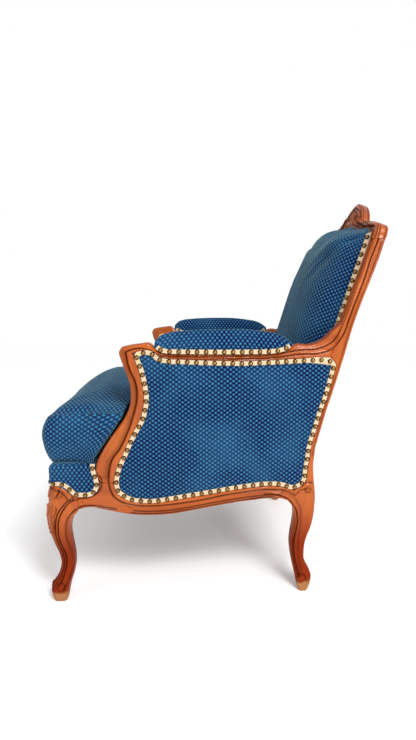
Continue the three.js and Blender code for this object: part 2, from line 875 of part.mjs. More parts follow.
function armPad() {
  const middle = -frameThickness / 2;
  const half = frameThickness / 2 + armPadOverhang;
  const ends = armPadShares.length - 1;
  const rings = armPadShares.map(([depthShare, topShare], i) => {
    const y = run(depthShare);
    const base = armTop(depthShare) + clearance;
    const height = rise(topShare) - base;
    const width = half * (i === 0 || i === ends ? 0.72 : 1);
    return [
      [-width * 0.92, 0],
      [-width, 0.3],
      [-width * 0.88, 0.66],
      [-width * 0.5, 0.93],
      [0, 1],
      [width * 0.5, 0.93],
      [width * 0.88, 0.66],
      [width, 0.3],
      [width * 0.92, 0],
    ].map(([side, heightShare]) => sidePoint(y, base + height * heightShare, middle + side));
  });
  return loft(rings);
}

// The gimp round the foot of the arm pad, one run on each face of the arm
function armPadGimp(face) {
  const reach = frameThickness / 2 + armPadOverhang + clearance;
  const place = (y, z, out) => sidePoint(y, z, face * (reach + out) - frameThickness / 2);
  const rings = armPadShares.slice(1, -1).map(([depthShare]) => {
    const y = run(depthShare);
    const low = armTop(depthShare) + clearance;
    const high = low + gimpWidth;
    const slope = gimpWidth * gimpSlopeShare;
    return [
      place(y, low, 0),
      place(y, high, 0),
      place(y, high - slope, gimpThickness),
      place(y, low + slope, gimpThickness),
    ];
  });
  return loft(rings);
}

// Back coverings

const backPadSides = 7;
const footPointShares = [-0.6, -0.2, 0.2, 0.6];
const footPoints = footPointShares.length;

function backOpening(foot) {
  const rows = crestRows().map(([, inner]) => inner);
  const top = rows[0].y;
  const heights = Array.from({ length: backPadSides }, (_, i) => foot + ((top - foot) * i) / backPadSides);
  const side = heights.map((z) => {
    const onPlane = backPoint(0, z, 0);
    return new THREE.Vector2(outerFace(onPlane.y, z) - postFaceWidth, z);
  });
  const bottom = footPointShares.map((share) => new THREE.Vector2(share * side[0].x, foot));
  const right = side.map((p) => new THREE.Vector2(-p.x, p.y));
  return [...right, ...rows, ...side.reverse(), ...bottom.reverse()];
}

const outerBackFootShare = 1.205;
const backCentreShare = 2.05;
const backCentre = new THREE.Vector2(0, rise(backCentreShare));

// Cuts the front and rear rebates of the back frame, which the pad and the outer back are tacked into.
function backRebated(geometry) {
  const front = prism(backOpening(padFoot), backCentre, backPoint, -padStep, postDepth);
  const outerOpening = backOpening(rise(outerBackFootShare));
  const rear = prism(outerOpening, backCentre, backPoint, padStep - postDepth, -2 * postDepth);
  return cut(geometry, front, rear);
}

function backPad() {
  const outline = inset(backOpening(padFoot), 2 * clearance);
  const base = clearance - padStep;
  const border = base + backPadBorder;
  const place = (depth) => (p) => backPoint(p.x, p.y, depth);
  const rolls = [20, 42, 66, 90].map((degrees) => THREE.MathUtils.degToRad(degrees));
  const rings = [
    outline.map(place(base)),
    outline.map(place(border)),
    inset(outline, coverBorder).map(place(border)),
    ...rolls.map((angle) => {
      const ring = inset(outline, coverBorder);
      const reach = (1 - Math.cos(angle)) * backPadRoll;
      const moved = ring.map((p) => p.clone().add(backCentre.clone().sub(p).setLength(reach)));
      return moved.map(place(border + backPadCrown * Math.sin(angle)));
    }),
  ];
  return dome(rings, place(base)(backCentre), place(border + backPadCrown + padStep / 2)(backCentre));
}

function innerBackGimp() {
  const depth = 2 * clearance - padStep + backPadBorder;
  return gimpAlong(backOpening(padFoot), 3 * clearance, backPoint, depth, 1, footPoints);
}

function outerBackPanel() {
  const outline = inset(backOpening(rise(outerBackFootShare)), 2 * clearance);
  const base = padStep - clearance - postDepth;
  const face = base - fabricSkin;
  const place = (depth) => (p) => backPoint(p.x, p.y, depth);
  const rings = [
    outline.map(place(base)),
    outline.map(place(face)),
    inset(outline, coverBorder).map(place(face)),
    towards(inset(outline, coverBorder), backCentre, 0.3).map(place(face - coverCrown * 0.75)),
  ];
  return dome(rings, place(base)(backCentre), place(face - coverCrown)(backCentre));
}

function outerBackGimp() {
  const depth = padStep - 2 * clearance - postDepth - fabricSkin;
  return gimpAlong(backOpening(rise(outerBackFootShare)), 3 * clearance, backPoint, depth, -1);
}

// Seat

// The front edge of the arm support at a height; under the rail's top it goes straight down.
function supportFront(z) {
  const rows = supportShares.map(([depth, height]) => [run(depth), rise(height)]).reverse();
  const level = THREE.MathUtils.clamp(z, rows[0][1], rows.at(-1)[1]);
  const upper = Math.max(rows.findIndex(([, height]) => height >= level), 1);
  const [lowY, lowZ] = rows[upper - 1];
  const [highY, highZ] = rows[upper];
  return THREE.MathUtils.mapLinear(level, lowZ, highZ, lowY, highY);
}

// The seat's plan at a height: ears in front of the arm supports, then in between the inner side pads. Its
// stops are distances from the front corner, along the front and along the side.
const deckFront = run(frontRailSetBackShare);
const padFace = frameThickness + innerPadThickness + 2 * clearance;
const cornerSteps = 4;
const innerStopShares = [0.2, 0.4, 0.6, 0.8, 1];

function seatPlan(z, { front, corner, back, stops, margin = 0 }) {
  const ear = supportFront(z) - cushionSideGap - margin;
  const side = (y) => outerFace(y, z) - margin;
  const inner = (y) => side(y) - padFace;
  const curve = Array.from({ length: cornerSteps + 1 }, (_, step) => {
    const angle = (step / cornerSteps) * (Math.PI / 2);
    const y = front + corner * (1 - Math.cos(angle));
    return new THREE.Vector2(side(y) - corner * (1 - Math.sin(angle)), y);
  });
  const half = [
    new THREE.Vector2(0, front),
    ...stops.slice().reverse().map((stop) => new THREE.Vector2(side(front) - stop, front)),
    ...curve,
    ...stops.map((stop) => new THREE.Vector2(side(front + stop), front + stop)),
    new THREE.Vector2(side(ear), ear),
    new THREE.Vector2((side(ear) + inner(ear)) / 2, ear),
    new THREE.Vector2(inner(ear), ear),
    ...innerStopShares.map((share) => {
      const y = THREE.MathUtils.lerp(ear, back, share);
      return new THREE.Vector2(inner(y), y);
    }),
    new THREE.Vector2(inner(back) / 2, back),
  ];
  const other = half.slice(1).reverse().map((p) => new THREE.Vector2(-p.x, p.y));
  return [...half, new THREE.Vector2(0, back), ...other];
}

// A point that sees every point of the plan's edge
const seatCentre = new THREE.Vector2(0, supportFront(deckHeight) * 0.85);

const levelPlace = (x, y, z) => new THREE.Vector3(x, y, z);
const level = (plan, z) => plan.map((p) => levelPlace(p.x, p.y, z));

// The border of the platform hangs over the rails. Its lower edge dips behind the knee of the leg: distance
// from the corner of the seat, as a depth share, and height.
const skirtShares = [
  [0, 1.175],
  [0.045, 1.147],
  [0.063, 1.131],
  [0.082, 1.1],
  [0.1, 1.083],
  [0.142, 1.078],
];
const skirtEndShare = 1.12;
const deckBackShare = 0.93;
const deck = {
  front: deckFront,
  corner: deckCorner,
  back: run(deckBackShare),
  stops: skirtShares.slice(1).map(([share]) => run(share)),
};

// A band round the front of the seat, from one arm support to the other. Its section is on (distance in from
// the seat's side, height), and hangs on the band's lower edge.
function frontBand(section) {
  const heights = skirtShares.slice(1).map(([, height]) => height);
  const corner = Array.from({ length: cornerSteps + 1 }, () => skirtShares[0][1]);
  const lows = [heights.at(-1), ...heights.slice().reverse(), ...corner, ...heights, skirtEndShare];
  const half = lows.map((low, i) => section(rise(low)).map(([offset, z]) => {
    const p = inset(seatPlan(z, deck), offset)[i];
    return levelPlace(p.x, p.y, z);
  }));
  const other = half.slice(1).reverse().map((ring) => ring.map((p) => levelPlace(-p.x, p.y, p.z)));
  return loft([...other, ...half]);
}

const skirtBack = rebateDepth - clearance;
const deckBase = rise(railTopShare) + hessianThickness + 2 * clearance;
const skirtTop = deckBase + deckRoll;

function skirtRebate() {
  return frontBand((low) => [
    [rebateDepth, low],
    [-rebateDepth, low],
    [-rebateDepth, skirtTop],
    [rebateDepth, skirtTop],
  ]);
}

function deckGimp() {
  const slope = gimpWidth * gimpSlopeShare;
  const back = skirtFace - clearance;
  const face = back - gimpThickness;
  return frontBand((low) => [
    [back, low + clearance],
    [face, low + clearance + slope],
    [face, low + clearance + gimpWidth - slope],
    [back, low + clearance + gimpWidth],
  ]);
}

function seatDeck() {
  const ring = (z, drawn) => level(inset(seatPlan(z, deck), skirtFace + drawn), z);
  const rings = [
    ring(deckBase, 0),
    ring(deckHeight - deckRoll, 0),
    ring(deckHeight - deckRoll * 0.3, deckRoll * 0.3),
    ring(deckHeight, deckRoll),
  ];
  const centre = (z) => levelPlace(seatCentre.x, seatCentre.y, z);
  const skirt = frontBand((low) => [
    [skirtBack, low + clearance],
    [skirtFace, low + clearance],
    [skirtFace, skirtTop],
    [skirtBack, skirtTop],
  ]);
  return joined(dome(rings, centre(deckBase), centre(deckHeight)), skirt);
}

// The boxing's rings, drawn in by a share at a share of its height, and the crown's rings, as shares of the
// way to the middle and of the rise.
const boxingShares = [
  [1, 0],
  [0.3, 0.08],
  [0.14, 0.14],
  [0, 0.5],
  [0.14, 0.86],
  [0.22, 1],
];
const crownShares = [
  [0.04, 0.2],
  [0.12, 0.44],
  [0.24, 0.66],
  [0.42, 0.85],
  [0.7, 0.97],
];
const cushionBackShare = 0.8465;
const cushionStopShares = [0.1, 0.14];
const cushion = {
  front: deckFront - cushionProud,
  corner: cushionCorner,
  back: run(cushionBackShare),
  stops: cushionStopShares.map(run),
  margin: cushionSideGap,
};

function seatCushion() {
  const base = deckHeight + clearance;
  const boxing = cushionSeamHeight - base;
  const middle = new THREE.Vector2(0, (cushion.front + cushion.back) / 2);
  const sides = boxingShares.map(([drawn, height]) => {
    const z = base + boxing * height;
    return level(inset(seatPlan(z, cushion), cushionDrawIn * drawn), z);
  });
  const seam = sides.at(-1).map((p) => new THREE.Vector2(p.x, p.y));
  const crown = crownShares.map(([share, height]) => {
    const ring = seam.map((p) => {
      const way = p.clone().sub(middle);
      const round = way.clone().setLength((middle.y - cushion.front) * (1 - share));
      const drawn = way.multiplyScalar(1 - share);
      return middle.clone().add(drawn.lerp(round, Math.min(2 * share, 1)));
    });
    return level(ring, cushionSeamHeight + cushionCrown * height);
  });
  const bottom = levelPlace(seatCentre.x, seatCentre.y, base);
  return dome([...sides, ...crown], bottom, levelPlace(middle.x, middle.y, cushionSeamHeight + cushionCrown));
}

// Inside the seat

const webShare = 1.085;
const frontInner = run(frontRailSetBackShare) + crossRailThickness + clearance;
const rearInner = run(rearRailBackShare) - rearRailThickness - clearance;
const sideInner = (y, z) => outerFace(y, z) - frameThickness - clearance;

// Straps tacked between the rails in both directions, pressed flat where they cross.
function seatWebbing() {
  const z = rise(webShare);
  const strapShares = Array.from({ length: webStraps }, (_, i) => (i + 1) / (webStraps + 1));
  const across = strapShares.map((share) => {
    const y = THREE.MathUtils.lerp(frontInner, rearInner, share);
    const ring = (side) => [y - webWidth / 2, y + webWidth / 2].flatMap((edge) => [
      levelPlace(side * sideInner(edge, z), edge, z),
      levelPlace(side * sideInner(edge, z), edge, z + webThickness),
    ]);
    const [a, b, c, d] = ring(-1);
    const [e, f, g, h] = ring(1);
    return loft([[a, b, d, c], [e, f, h, g]]);
  });
  const reach = sideInner(rearInner, z);
  const along = strapShares.map((share) => {
    const x = THREE.MathUtils.lerp(-reach, reach, share);
    return block(
      levelPlace(x - webWidth / 2, frontInner, z),
      levelPlace(x + webWidth / 2, rearInner, z + webThickness),
    );
  });
  return joined(across[0], ...across.slice(1), ...along);
}

// An hourglass coil in one unbroken wire.
function seatSpring(column, row) {
  const low = rise(webShare) + webThickness + clearance + springWire / 2;
  const high = rise(railTopShare) - springWire / 2;
  const spread = (index) => (index - (springRows - 1) / 2) / springRows;
  const y = THREE.MathUtils.lerp(frontInner, rearInner, 0.5 + spread(row));
  const x = spread(column) * 2 * (sideInner(y, low) - legBlock / 3);
  const steps = springTurns * turnSteps;
  const rings = Array.from({ length: steps + 1 }, (_, i) => {
    const share = i / steps;
    const angle = share * springTurns * 2 * Math.PI;
    const radius = THREE.MathUtils.lerp(springWaist, springRadius, Math.abs(2 * share - 1));
    const outwards = levelPlace(Math.cos(angle), Math.sin(angle), 0);
    const centre = levelPlace(x, y, THREE.MathUtils.lerp(low, high, share)).addScaledVector(outwards, radius);
    return Array.from({ length: tubeSides }, (__, k) => {
      const turn = (k / tubeSides) * 2 * Math.PI;
      const side = outwards.clone().multiplyScalar(Math.cos(turn) * (springWire / 2));
      return centre.clone().add(side).add(levelPlace(0, 0, Math.sin(turn) * (springWire / 2)));
    });
  });
  return loft(rings);
}

function springHessian() {
  const base = rise(railTopShare) + clearance;
  const plan = seatPlan(base, {
    front: frontInner - crossRailThickness / 2,
    corner: deckCorner,
    back: rearInner + rearRailThickness / 2,
    stops: [],
    margin: frameThickness / 2,
  });
  return prism(plan, seatCentre, levelPlace, base, base + hessianThickness);
}

const blockLowShare = 1.1;
const blockHighShare = 1.16;

function cornerPlan(z, isFront) {
  if (isFront) {
    const legBack = legDepth + clearance;
    const legInner = (y) => outerFace(y, z) - legBlock - clearance;
    return [
      new THREE.Vector2(sideInner(legBack, z), legBack),
      new THREE.Vector2(sideInner(legBack + blockLeg, z), legBack + blockLeg),
      new THREE.Vector2(legInner(frontInner) - blockLeg, frontInner),
      new THREE.Vector2(legInner(frontInner), frontInner),
      new THREE.Vector2(legInner(legBack), legBack),
    ];
  }
  const post = run(rearJointShare) - clearance;
  const postInner = (y) => outerFace(y, z) - postWidth - clearance;
  return [
    new THREE.Vector2(sideInner(post, z), post),
    new THREE.Vector2(sideInner(post - blockLeg, z), post - blockLeg),
    new THREE.Vector2(postInner(rearInner) - blockLeg, rearInner),
    new THREE.Vector2(postInner(rearInner), rearInner),
    new THREE.Vector2(postInner(post), post),
  ];
}

function cornerBlock(isFront) {
  const heights = [rise(blockLowShare), rise(blockHighShare)];
  return loft(heights.map((z) => level(cornerPlan(z, isFront), z)));
}

const dustShare = 1.06;

function dustCover() {
  const z = rise(dustShare);
  const [, frontSide, frontEdge] = cornerPlan(z, true);
  const [, rearSide, rearEdge] = cornerPlan(z, false);
  const half = [frontEdge, frontSide, rearSide, rearEdge];
  const plan = [...half, ...half.slice().reverse().map((p) => new THREE.Vector2(-p.x, p.y))];
  const centre = new THREE.Vector2(0, (frontInner + rearInner) / 2);
  return prism(plan, centre, levelPlace, z, z + dustCoverThickness);
}

// Back straps, tacked across the back frame behind the pad
const backStrapShares = [1.62, 1.85, 2.08, 2.31];
const backUprightShares = [-0.5, 0, 0.5];

function backWebbing() {
  const depth = -padStep - clearance;
  const half = (z) => outerFace(backPoint(0, z, depth).y, z) - postWidth - clearance;
  const strap = (corners) => {
    return loft([depth, depth - webThickness].map((back) => corners.map(([x, z]) => backPoint(x, z, back))));
  };
  const across = backStrapShares.map((share) => {
    const low = rise(share) - webWidth / 2;
    const high = rise(share) + webWidth / 2;
    return strap([[-half(low), low], [half(low), low], [half(high), high], [-half(high), high]]);
  });
  const low = rise(lowerRailShare) + lowerRailHeight + clearance;
  const high = rise(backStrapShares.at(-1)) + webWidth;
  const upright = backUprightShares.map((share) => {
    const [left, right] = [-1, 1].map((side) => share * half(low) + side * (webWidth / 2));
    return strap([[left, low], [right, low], [right, high], [left, high]]);
  });
  return joined(across[0], ...across.slice(1), ...upright);
}

// Tenons. Each is a tongue of the first piece, and the mortise in the second is wider by the clearance all
// round.

const tongueDepth = [-(frameThickness + tenonThickness) / 2, (tenonThickness - frameThickness) / 2];

// A tongue on the side frame between two depths, two heights and two distances in from the outer face.
function sideTongue(ys, zs, margin) {
  const [low, high] = [zs[0] - margin, zs[1] + margin];
  const [inner, outer] = [tongueDepth[0] - margin, tongueDepth[1] + margin];
  const rings = [ys[0] - margin, ys[1] + margin].map((y) => [
    sidePoint(y, low, inner),
    sidePoint(y, low, outer),
    sidePoint(y, high, outer),
    sidePoint(y, high, inner),
  ]);
  return loft(rings);
}

const railTongue = [rise(webShare), rise(railTopShare) - tenonShoulder];
const frontTongue = [legDepth - tenonLength, legDepth + tenonOverrun];
const rearTongue = [run(rearJointShare) - tenonOverrun, run(rearJointShare) + tenonLength];
const supportFoot = rise(railTopShare);
const supportTongueShares = [0.203, 0.226];
const supportTongueY = supportTongueShares.map(run);
const supportTongueZ = [supportFoot - tenonLength, supportFoot + tenonOverrun];
const armTongueZ = [rise(armRootShare) + tenonShoulder / 2, rise(armRootShare) + tenonShoulder * 2];
const armTongueY = [postFront(armTongueZ[0]) - tenonOverrun, postFront(armTongueZ[1]) + tenonLength * 0.8];

// A tongue between the front or rear rail and the post or leg that stands outside its end.
function crossTongue(shoulderWidth, ys, margin) {
  const [low, high] = [railTongue[0] - margin, railTongue[1] + margin];
  const [front, back] = [ys[0] - margin, ys[1] + margin];
  const corners = [[front, low], [back, low], [back, high], [front, high]];
  const length = tenonLength * 0.75;
  return [-shoulderWidth - tenonOverrun - margin, length - shoulderWidth + margin].map((depth) => {
    return corners.map(([y, z]) => sidePoint(y, z, depth));
  });
}

const frontTongueY = [frontInner - crossRailThickness * 0.65, frontInner - crossRailThickness * 0.35];
const rearTongueY = [rearInner + rearRailThickness * 0.35, rearInner + rearRailThickness * 0.65];

const mirrored = (rings) => rings.map((ring) => ring.map((p) => levelPlace(-p.x, p.y, p.z)));

function bothTongues(shoulderWidth, ys) {
  const rings = crossTongue(shoulderWidth, ys, 0);
  return [loft(rings), loft(mirrored(rings))];
}

// The post's tongue stands up into the end of the crest rail, on the sitter's left (1) or right (-1).
function crestTongue(side, margin) {
  const top = rise(postTopShare);
  const front = postFront(top);
  const edges = [0.75, 0.4].map((share) => side * (shoulder - postFaceWidth * share));
  const [left, right] = [Math.min(...edges), Math.max(...edges)];
  const low = levelPlace(left, front + postDepth * 0.4, top - tenonOverrun);
  const high = levelPlace(right, front + postDepth * 0.75, top + tenonLength * 0.6);
  return block(low, high, margin);
}

const meshes = { leftSide: new THREE.Group(), rightSide: new THREE.Group(), middle: new THREE.Group() };

function add(group, name, geometry, finish) {
  const mesh = new THREE.Mesh(geometry, finish);
  mesh.name = name;
  group.add(mesh);
}

// Each side piece is made once and mirrored for the other side.
function addPair(name, geometry, finish) {
  add(meshes.leftSide, `${name}_left`, geometry, finish);
  add(meshes.rightSide, `${name}_right`, geometry, finish);
}

meshes.rightSide.scale.x = -1;

addPair("front_leg", cut(
  frontLeg(),
  skirtRebate(),
  sideTongue(frontTongue, railTongue, clearance),
  loft(crossTongue(legBlock, frontTongueY, clearance)),
), finishes.wood);
addPair("rear_post", joined(cut(
  backRebated(rebated(rearPost())),
  sideTongue(rearTongue, railTongue, clearance),
  sideTongue(armTongueY, armTongueZ, clearance),
  loft(crossTongue(postWidth, rearTongueY, clearance)),
), crestTongue(1, 0)), finishes.wood);
addPair("side_rail", joined(
  cut(rebated(sideRail()), skirtRebate(), sideTongue(supportTongueY, supportTongueZ, clearance)),
  sideTongue(frontTongue, railTongue, 0),
  sideTongue(rearTongue, railTongue, 0),
), finishes.wood);
addPair("arm_support", joined(
  rebated(armSupport()),
  sideTongue(supportTongueY, supportTongueZ, 0),
), finishes.wood);
addPair("arm", joined(rebated(arm()), sideTongue(armTongueY, armTongueZ, 0)), finishes.wood);
addPair("front_corner_block", cornerBlock(true), finishes.innerWood);
addPair("rear_corner_block", cornerBlock(false), finishes.innerWood);
addPair("outer_side_panel", outerSidePanel(), finishes.fabric);
addPair("outer_side_gimp", outerSideGimp(), finishes.gimp);
addPair("inner_side_pad", innerSidePad(), finishes.fabric);
addPair("inner_side_gimp", innerSideGimp(), finishes.gimp);
addPair("arm_pad", armPad(), finishes.fabric);
addPair("arm_pad_outer_gimp", armPadGimp(1), finishes.gimp);
addPair("arm_pad_inner_gimp", armPadGimp(-1), finishes.gimp);
add(meshes.middle, "front_rail", joined(frontRail(), ...bothTongues(legBlock, frontTongueY)), finishes.wood);
add(meshes.middle, "rear_rail", joined(rearRail(), ...bothTongues(postWidth, rearTongueY)), finishes.wood);
add(meshes.middle, "crest_rail", cut(
  backRebated(crestRail()),
  crestTongue(1, clearance),
  crestTongue(-1, clearance),
), finishes.wood);
add(meshes.middle, "lower_back_rail", lowerBackRail(), finishes.innerWood);
add(meshes.middle, "back_webbing", backWebbing(), finishes.webbing);
add(meshes.middle, "back_pad", backPad(), finishes.fabric);
add(meshes.middle, "inner_back_gimp", innerBackGimp(), finishes.gimp);
add(meshes.middle, "outer_back_panel", outerBackPanel(), finishes.fabric);
add(meshes.middle, "outer_back_gimp", outerBackGimp(), finishes.gimp);
add(meshes.middle, "seat_webbing", seatWebbing(), finishes.webbing);
for (let row = 0; row < springRows; row += 1) {
  for (let column = 0; column < springRows; column += 1) {
    add(meshes.middle, `seat_spring_${row + 1}_${column + 1}`, seatSpring(column, row), finishes.steel);
  }
}
add(meshes.middle, "spring_hessian", springHessian(), finishes.hessian);
add(meshes.middle, "dust_cover", dustCover(), finishes.dustCover);
add(meshes.middle, "seat_deck", seatDeck(), finishes.fabric);
add(meshes.middle, "deck_gimp", deckGimp(), finishes.gimp);
add(meshes.middle, "seat_cushion", seatCushion(), finishes.fabric);

const chair = new THREE.Group();
chair.add(meshes.leftSide, meshes.rightSide, meshes.middle);
const middleDepth = new THREE.Box3().setFromObject(chair).getCenter(new THREE.Vector3()).y;
chair.position.y = -middleDepth;

export default chair;
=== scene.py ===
"""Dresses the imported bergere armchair: carved frame, woven covers, braid, nails, stage, lights and camera.

Metres, +Z up. The sitter looks along -Y and the sitter's left is +X. Heights are written in storeys, where 0
is the floor, 1 the side rail, 2 the arm and 3 the crest. Depths run from 0 at the front leg to 1 at the rear
post and on to 2 behind the shoulders.
"""

import logging
import math
from dataclasses import dataclass
from enum import Enum
from typing import Callable, Mapping, Optional, Sequence, Union

import bpy
import numpy as np
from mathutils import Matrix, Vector


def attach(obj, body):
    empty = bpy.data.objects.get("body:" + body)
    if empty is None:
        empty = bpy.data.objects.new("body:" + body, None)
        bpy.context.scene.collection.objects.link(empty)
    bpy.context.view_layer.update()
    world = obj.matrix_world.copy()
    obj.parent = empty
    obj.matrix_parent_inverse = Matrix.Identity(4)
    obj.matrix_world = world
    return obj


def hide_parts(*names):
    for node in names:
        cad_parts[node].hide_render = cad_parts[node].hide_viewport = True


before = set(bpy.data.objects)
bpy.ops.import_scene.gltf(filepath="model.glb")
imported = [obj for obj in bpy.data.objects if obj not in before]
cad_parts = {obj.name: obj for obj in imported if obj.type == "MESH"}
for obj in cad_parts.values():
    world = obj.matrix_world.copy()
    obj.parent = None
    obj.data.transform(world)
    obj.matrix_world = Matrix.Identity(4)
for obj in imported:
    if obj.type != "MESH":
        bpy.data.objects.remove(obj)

log = logging.getLogger("bergere")

Array = np.ndarray
Place = Callable[[Array, Array, Array], Array]


def millimetres(*rows: Sequence[float]) -> Array:
    """Rows of millimetres as an array of metres.

    Args:
        rows: points or other rows, all of one length.

    Returns:
        The rows in metres.
    """
    return np.array(rows, float) / 1000.0


def smoothstep(value: Array, low: float, high: float) -> Array:
    """Rises softly from 0 at low to 1 at high: 3t^2 - 2t^3 of the clamped share t.

    Args:
        value: where to read it.
        low: where the rise starts.
        high: where it ends; below low, the step falls.

    Returns:
        The share at each value.
    """
    share = np.clip((value - low) / (high - low), 0.0, 1.0)
    return share * share * (3.0 - 2.0 * share)


def bell(value: Array, middle: float, width: float) -> Array:
    """A bell curve round a middle, a third as high at its width."""
    return np.exp(-(((value - middle) / width) ** 2))


def lengths(points: Array) -> Array:
    """The length along a line of points, from 0 at its first."""
    return np.concatenate([[0.0], np.cumsum(np.linalg.norm(np.diff(points, axis=0), axis=1))])


def interpolated(rows: Array, stops: Array, where: Array) -> Array:
    """Reads rows that stand at rising stops, along straight lines."""
    return np.stack([np.interp(where, stops, column) for column in rows.T], axis=1)


def cubic(rows: Array, stops: Array, where: Array) -> Array:
    """Reads rows that stand at rising stops, by cubics with the slopes of the parabolas through neighbours.

    Args:
        rows: the rows, of any number of columns.
        stops: where each row stands.
        where: where to read them.

    Returns:
        A row for each place.
    """
    slope = np.gradient(rows, stops, axis=0)
    span = np.clip(np.searchsorted(stops, where, side="right") - 1, 0, len(stops) - 2)
    step = (stops[span + 1] - stops[span])[:, None]
    t = (where - stops[span])[:, None] / step
    return (
        (2 * t**3 - 3 * t**2 + 1) * rows[span] + (t**3 - 2 * t**2 + t) * step * slope[span]
        + (3 * t**2 - 2 * t**3) * rows[span + 1] + (t**3 - t**2) * step * slope[span + 1]
    )


def spline_at(table: Array, where: Array) -> Array:
    """Reads a table's other columns at any value of its first, by cubics."""
    return cubic(table[:, 1:], table[:, 0], where)


def spline(rows: Array, count: int, closed: bool = False) -> Array:
    """A smooth line through rows of numbers, cut into equal lengths.

    Args:
        rows: the points the line goes through, of any number of columns.
        count: how many points come back.
        closed: whether the line runs on from its last row to its first.

    Returns:
        The points, and for a closed line the first isn't repeated.
    """
    rows = np.asarray(rows, float)
    wrap = 3
    if closed:
        rows = np.vstack([rows[-wrap:], rows, rows[: wrap + 1]])
    length = lengths(rows)
    first, last = (length[wrap], length[-1 - wrap]) if closed else (length[0], length[-1])
    curve = cubic(rows, length, np.linspace(first, last, max(count * 6, 400)))
    along = lengths(curve)
    stops = np.linspace(0.0, along[-1], count + 1)[:-1] if closed else np.linspace(0.0, along[-1], count)
    return interpolated(curve, along, stops)


def resampled(rings: Sequence[Array], count: int, closed: bool = True) -> Array:
    """Smooths matched rings together, so that their points stay matched.

    Args:
        rings: equally long lists of points.
        count: how many points each ring gets.
        closed: whether the rings are closed.

    Returns:
        The rings, by ring, point and coordinate.
    """
    stack = np.stack(rings, axis=1)
    rows = spline(stack.reshape(len(stack), -1), count, closed)
    return rows.reshape(count, len(rings), -1).transpose(1, 0, 2)


def inset(outline: Array, distance: Union[float, Array]) -> Array:
    """Moves the edges of a closed plan inwards; corners keep their mitres.

    Args:
        outline: the plan's corners, in order either way round.
        distance: how far, in metres, for all corners or for each.

    Returns:
        The smaller plan, corner for corner.
    """
    along = np.roll(outline, -1, axis=0) - outline
    along /= np.maximum(np.linalg.norm(along, axis=1, keepdims=True), 1e-9)
    turned = np.stack([-along[:, 1], along[:, 0]], axis=1)
    after = turned * math.copysign(1.0, plan_area(outline))
    before = np.roll(after, 1, axis=0)
    mitre = (before + after) / np.maximum(1.0 + np.sum(before * after, axis=1, keepdims=True), 0.25)
    return outline + mitre * np.reshape(distance, (-1, 1))


def plan_area(outline: Array) -> float:
    """The signed area of a closed plan, positive where it runs anticlockwise."""
    x, y = outline.T
    return 0.5 * float(np.sum(x * np.roll(y, -1) - np.roll(x, -1) * y))


@dataclass(frozen=True)
class Proportions:
    """The chair's driving sizes, as in its CAD source, and the places that follow from them.

    Attributes:
        seat_depth: nose of the front leg to the back of the rear post at the seat.
        back_rake: how far the shoulders lean out behind the rear posts.
        rail_height: underside of the side rail where it meets the front leg.
        arm_height: front corner of the arm.
        chair_height: top of the crest.
        front_half_width: middle of the chair to the outer face of the front leg, at the floor.
        rear_half_width: the same at the rear legs.
        arm_flare: how far the arms stand out beyond the feet.
        clearance: gap between pieces that touch.
        offset: the chair's middle, from the nose of the front leg.
    """

    seat_depth: float = 0.649
    back_rake: float = 0.186
    rail_height: float = 0.230
    arm_height: float = 0.619
    chair_height: float = 0.991
    front_half_width: float = 0.335
    rear_half_width: float = 0.267
    arm_flare: float = 0.025
    clearance: float = 0.0003
    offset: float = 0.4066

    def rise(self, share: Union[float, Array]) -> Array:
        """The height of a share in storeys."""
        return np.interp(share, [0, 1, 2, 3], [0, self.rail_height, self.arm_height, self.chair_height])

    def run(self, share: Union[float, Array]) -> Array:
        """The depth of a share, from the nose of the front leg."""
        return np.interp(share, [0, 1, 2], [0, self.seat_depth, self.seat_depth + self.back_rake])

    def outer_face(self, y: Array, z: Array) -> Array:
        """Half the chair's width at a depth and a height: it narrows to the back and widens upwards."""
        taper = (self.front_half_width - self.rear_half_width) / self.seat_depth
        return self.front_half_width - taper * y + self.arm_flare / self.arm_height * z

    def side_place(self, y: Array, z: Array, depth: Array) -> Array:
        """Points on the chair's left side, at a depth out from its outer face.

        Args:
            y: depth from the nose of the front leg.
            z: height.
            depth: distance out of the side, negative into the chair.

        Returns:
            The points in the row frame.
        """
        y, z, depth = np.broadcast_arrays(y, z, depth)
        return np.stack([self.outer_face(y, z) + depth, y - self.offset, z], axis=-1)

    def back_place(self, x: Array, z: Array, depth: Array) -> Array:
        """Points on the back frame's leaning plane.

        Args:
            x: distance to the sitter's left.
            z: height on the plane.
            depth: distance forwards out of the plane.

        Returns:
            The points in the row frame.
        """
        x, z, depth = np.broadcast_arrays(x, z, depth)
        low = self.rise(BACK_FOOT)
        y = self.post_front(low) + (z - low) * math.tan(self.rake)
        return np.stack(
            [x, y - depth * math.cos(self.rake) - self.offset, z + depth * math.sin(self.rake)], axis=-1
        )

    def level_place(self, x: Array, y: Array, z: Array) -> Array:
        """Points from plain coordinates, with y from the nose of the front leg."""
        x, y, z = np.broadcast_arrays(x, y, z)
        return np.stack([x, y - self.offset, z], axis=-1)

    def post_front(self, z: Union[float, Array]) -> Array:
        """The depth of the rear post's front edge at a height."""
        return np.interp(z, self.rise(POST[:, 0]), self.run(POST[:, 1]))

    @property
    def rake(self) -> float:
        """The lean of the back frame, in radians."""
        back = self.run(POST[-1, 1]) - self.post_front(self.rise(BACK_FOOT))
        return math.atan2(back, self.rise(POST[-1, 0]) - self.rise(BACK_FOOT))

    @property
    def post_depth(self) -> float:
        """The thickness of the back frame."""
        return float(self.run(POST[-1, 2]) - self.run(POST[-1, 1])) * math.cos(self.rake)

    @property
    def shoulder(self) -> float:
        """Half the chair's width at the shoulders."""
        return float(self.outer_face(self.run(POST[-1, 1]), self.rise(POST[-1, 0])))


# The outlines below are those of the CAD source, in depth and height shares.
RAIL_TOP = 1.17
BACK_FOOT = 1.39
REAR_JOINT = 0.8955
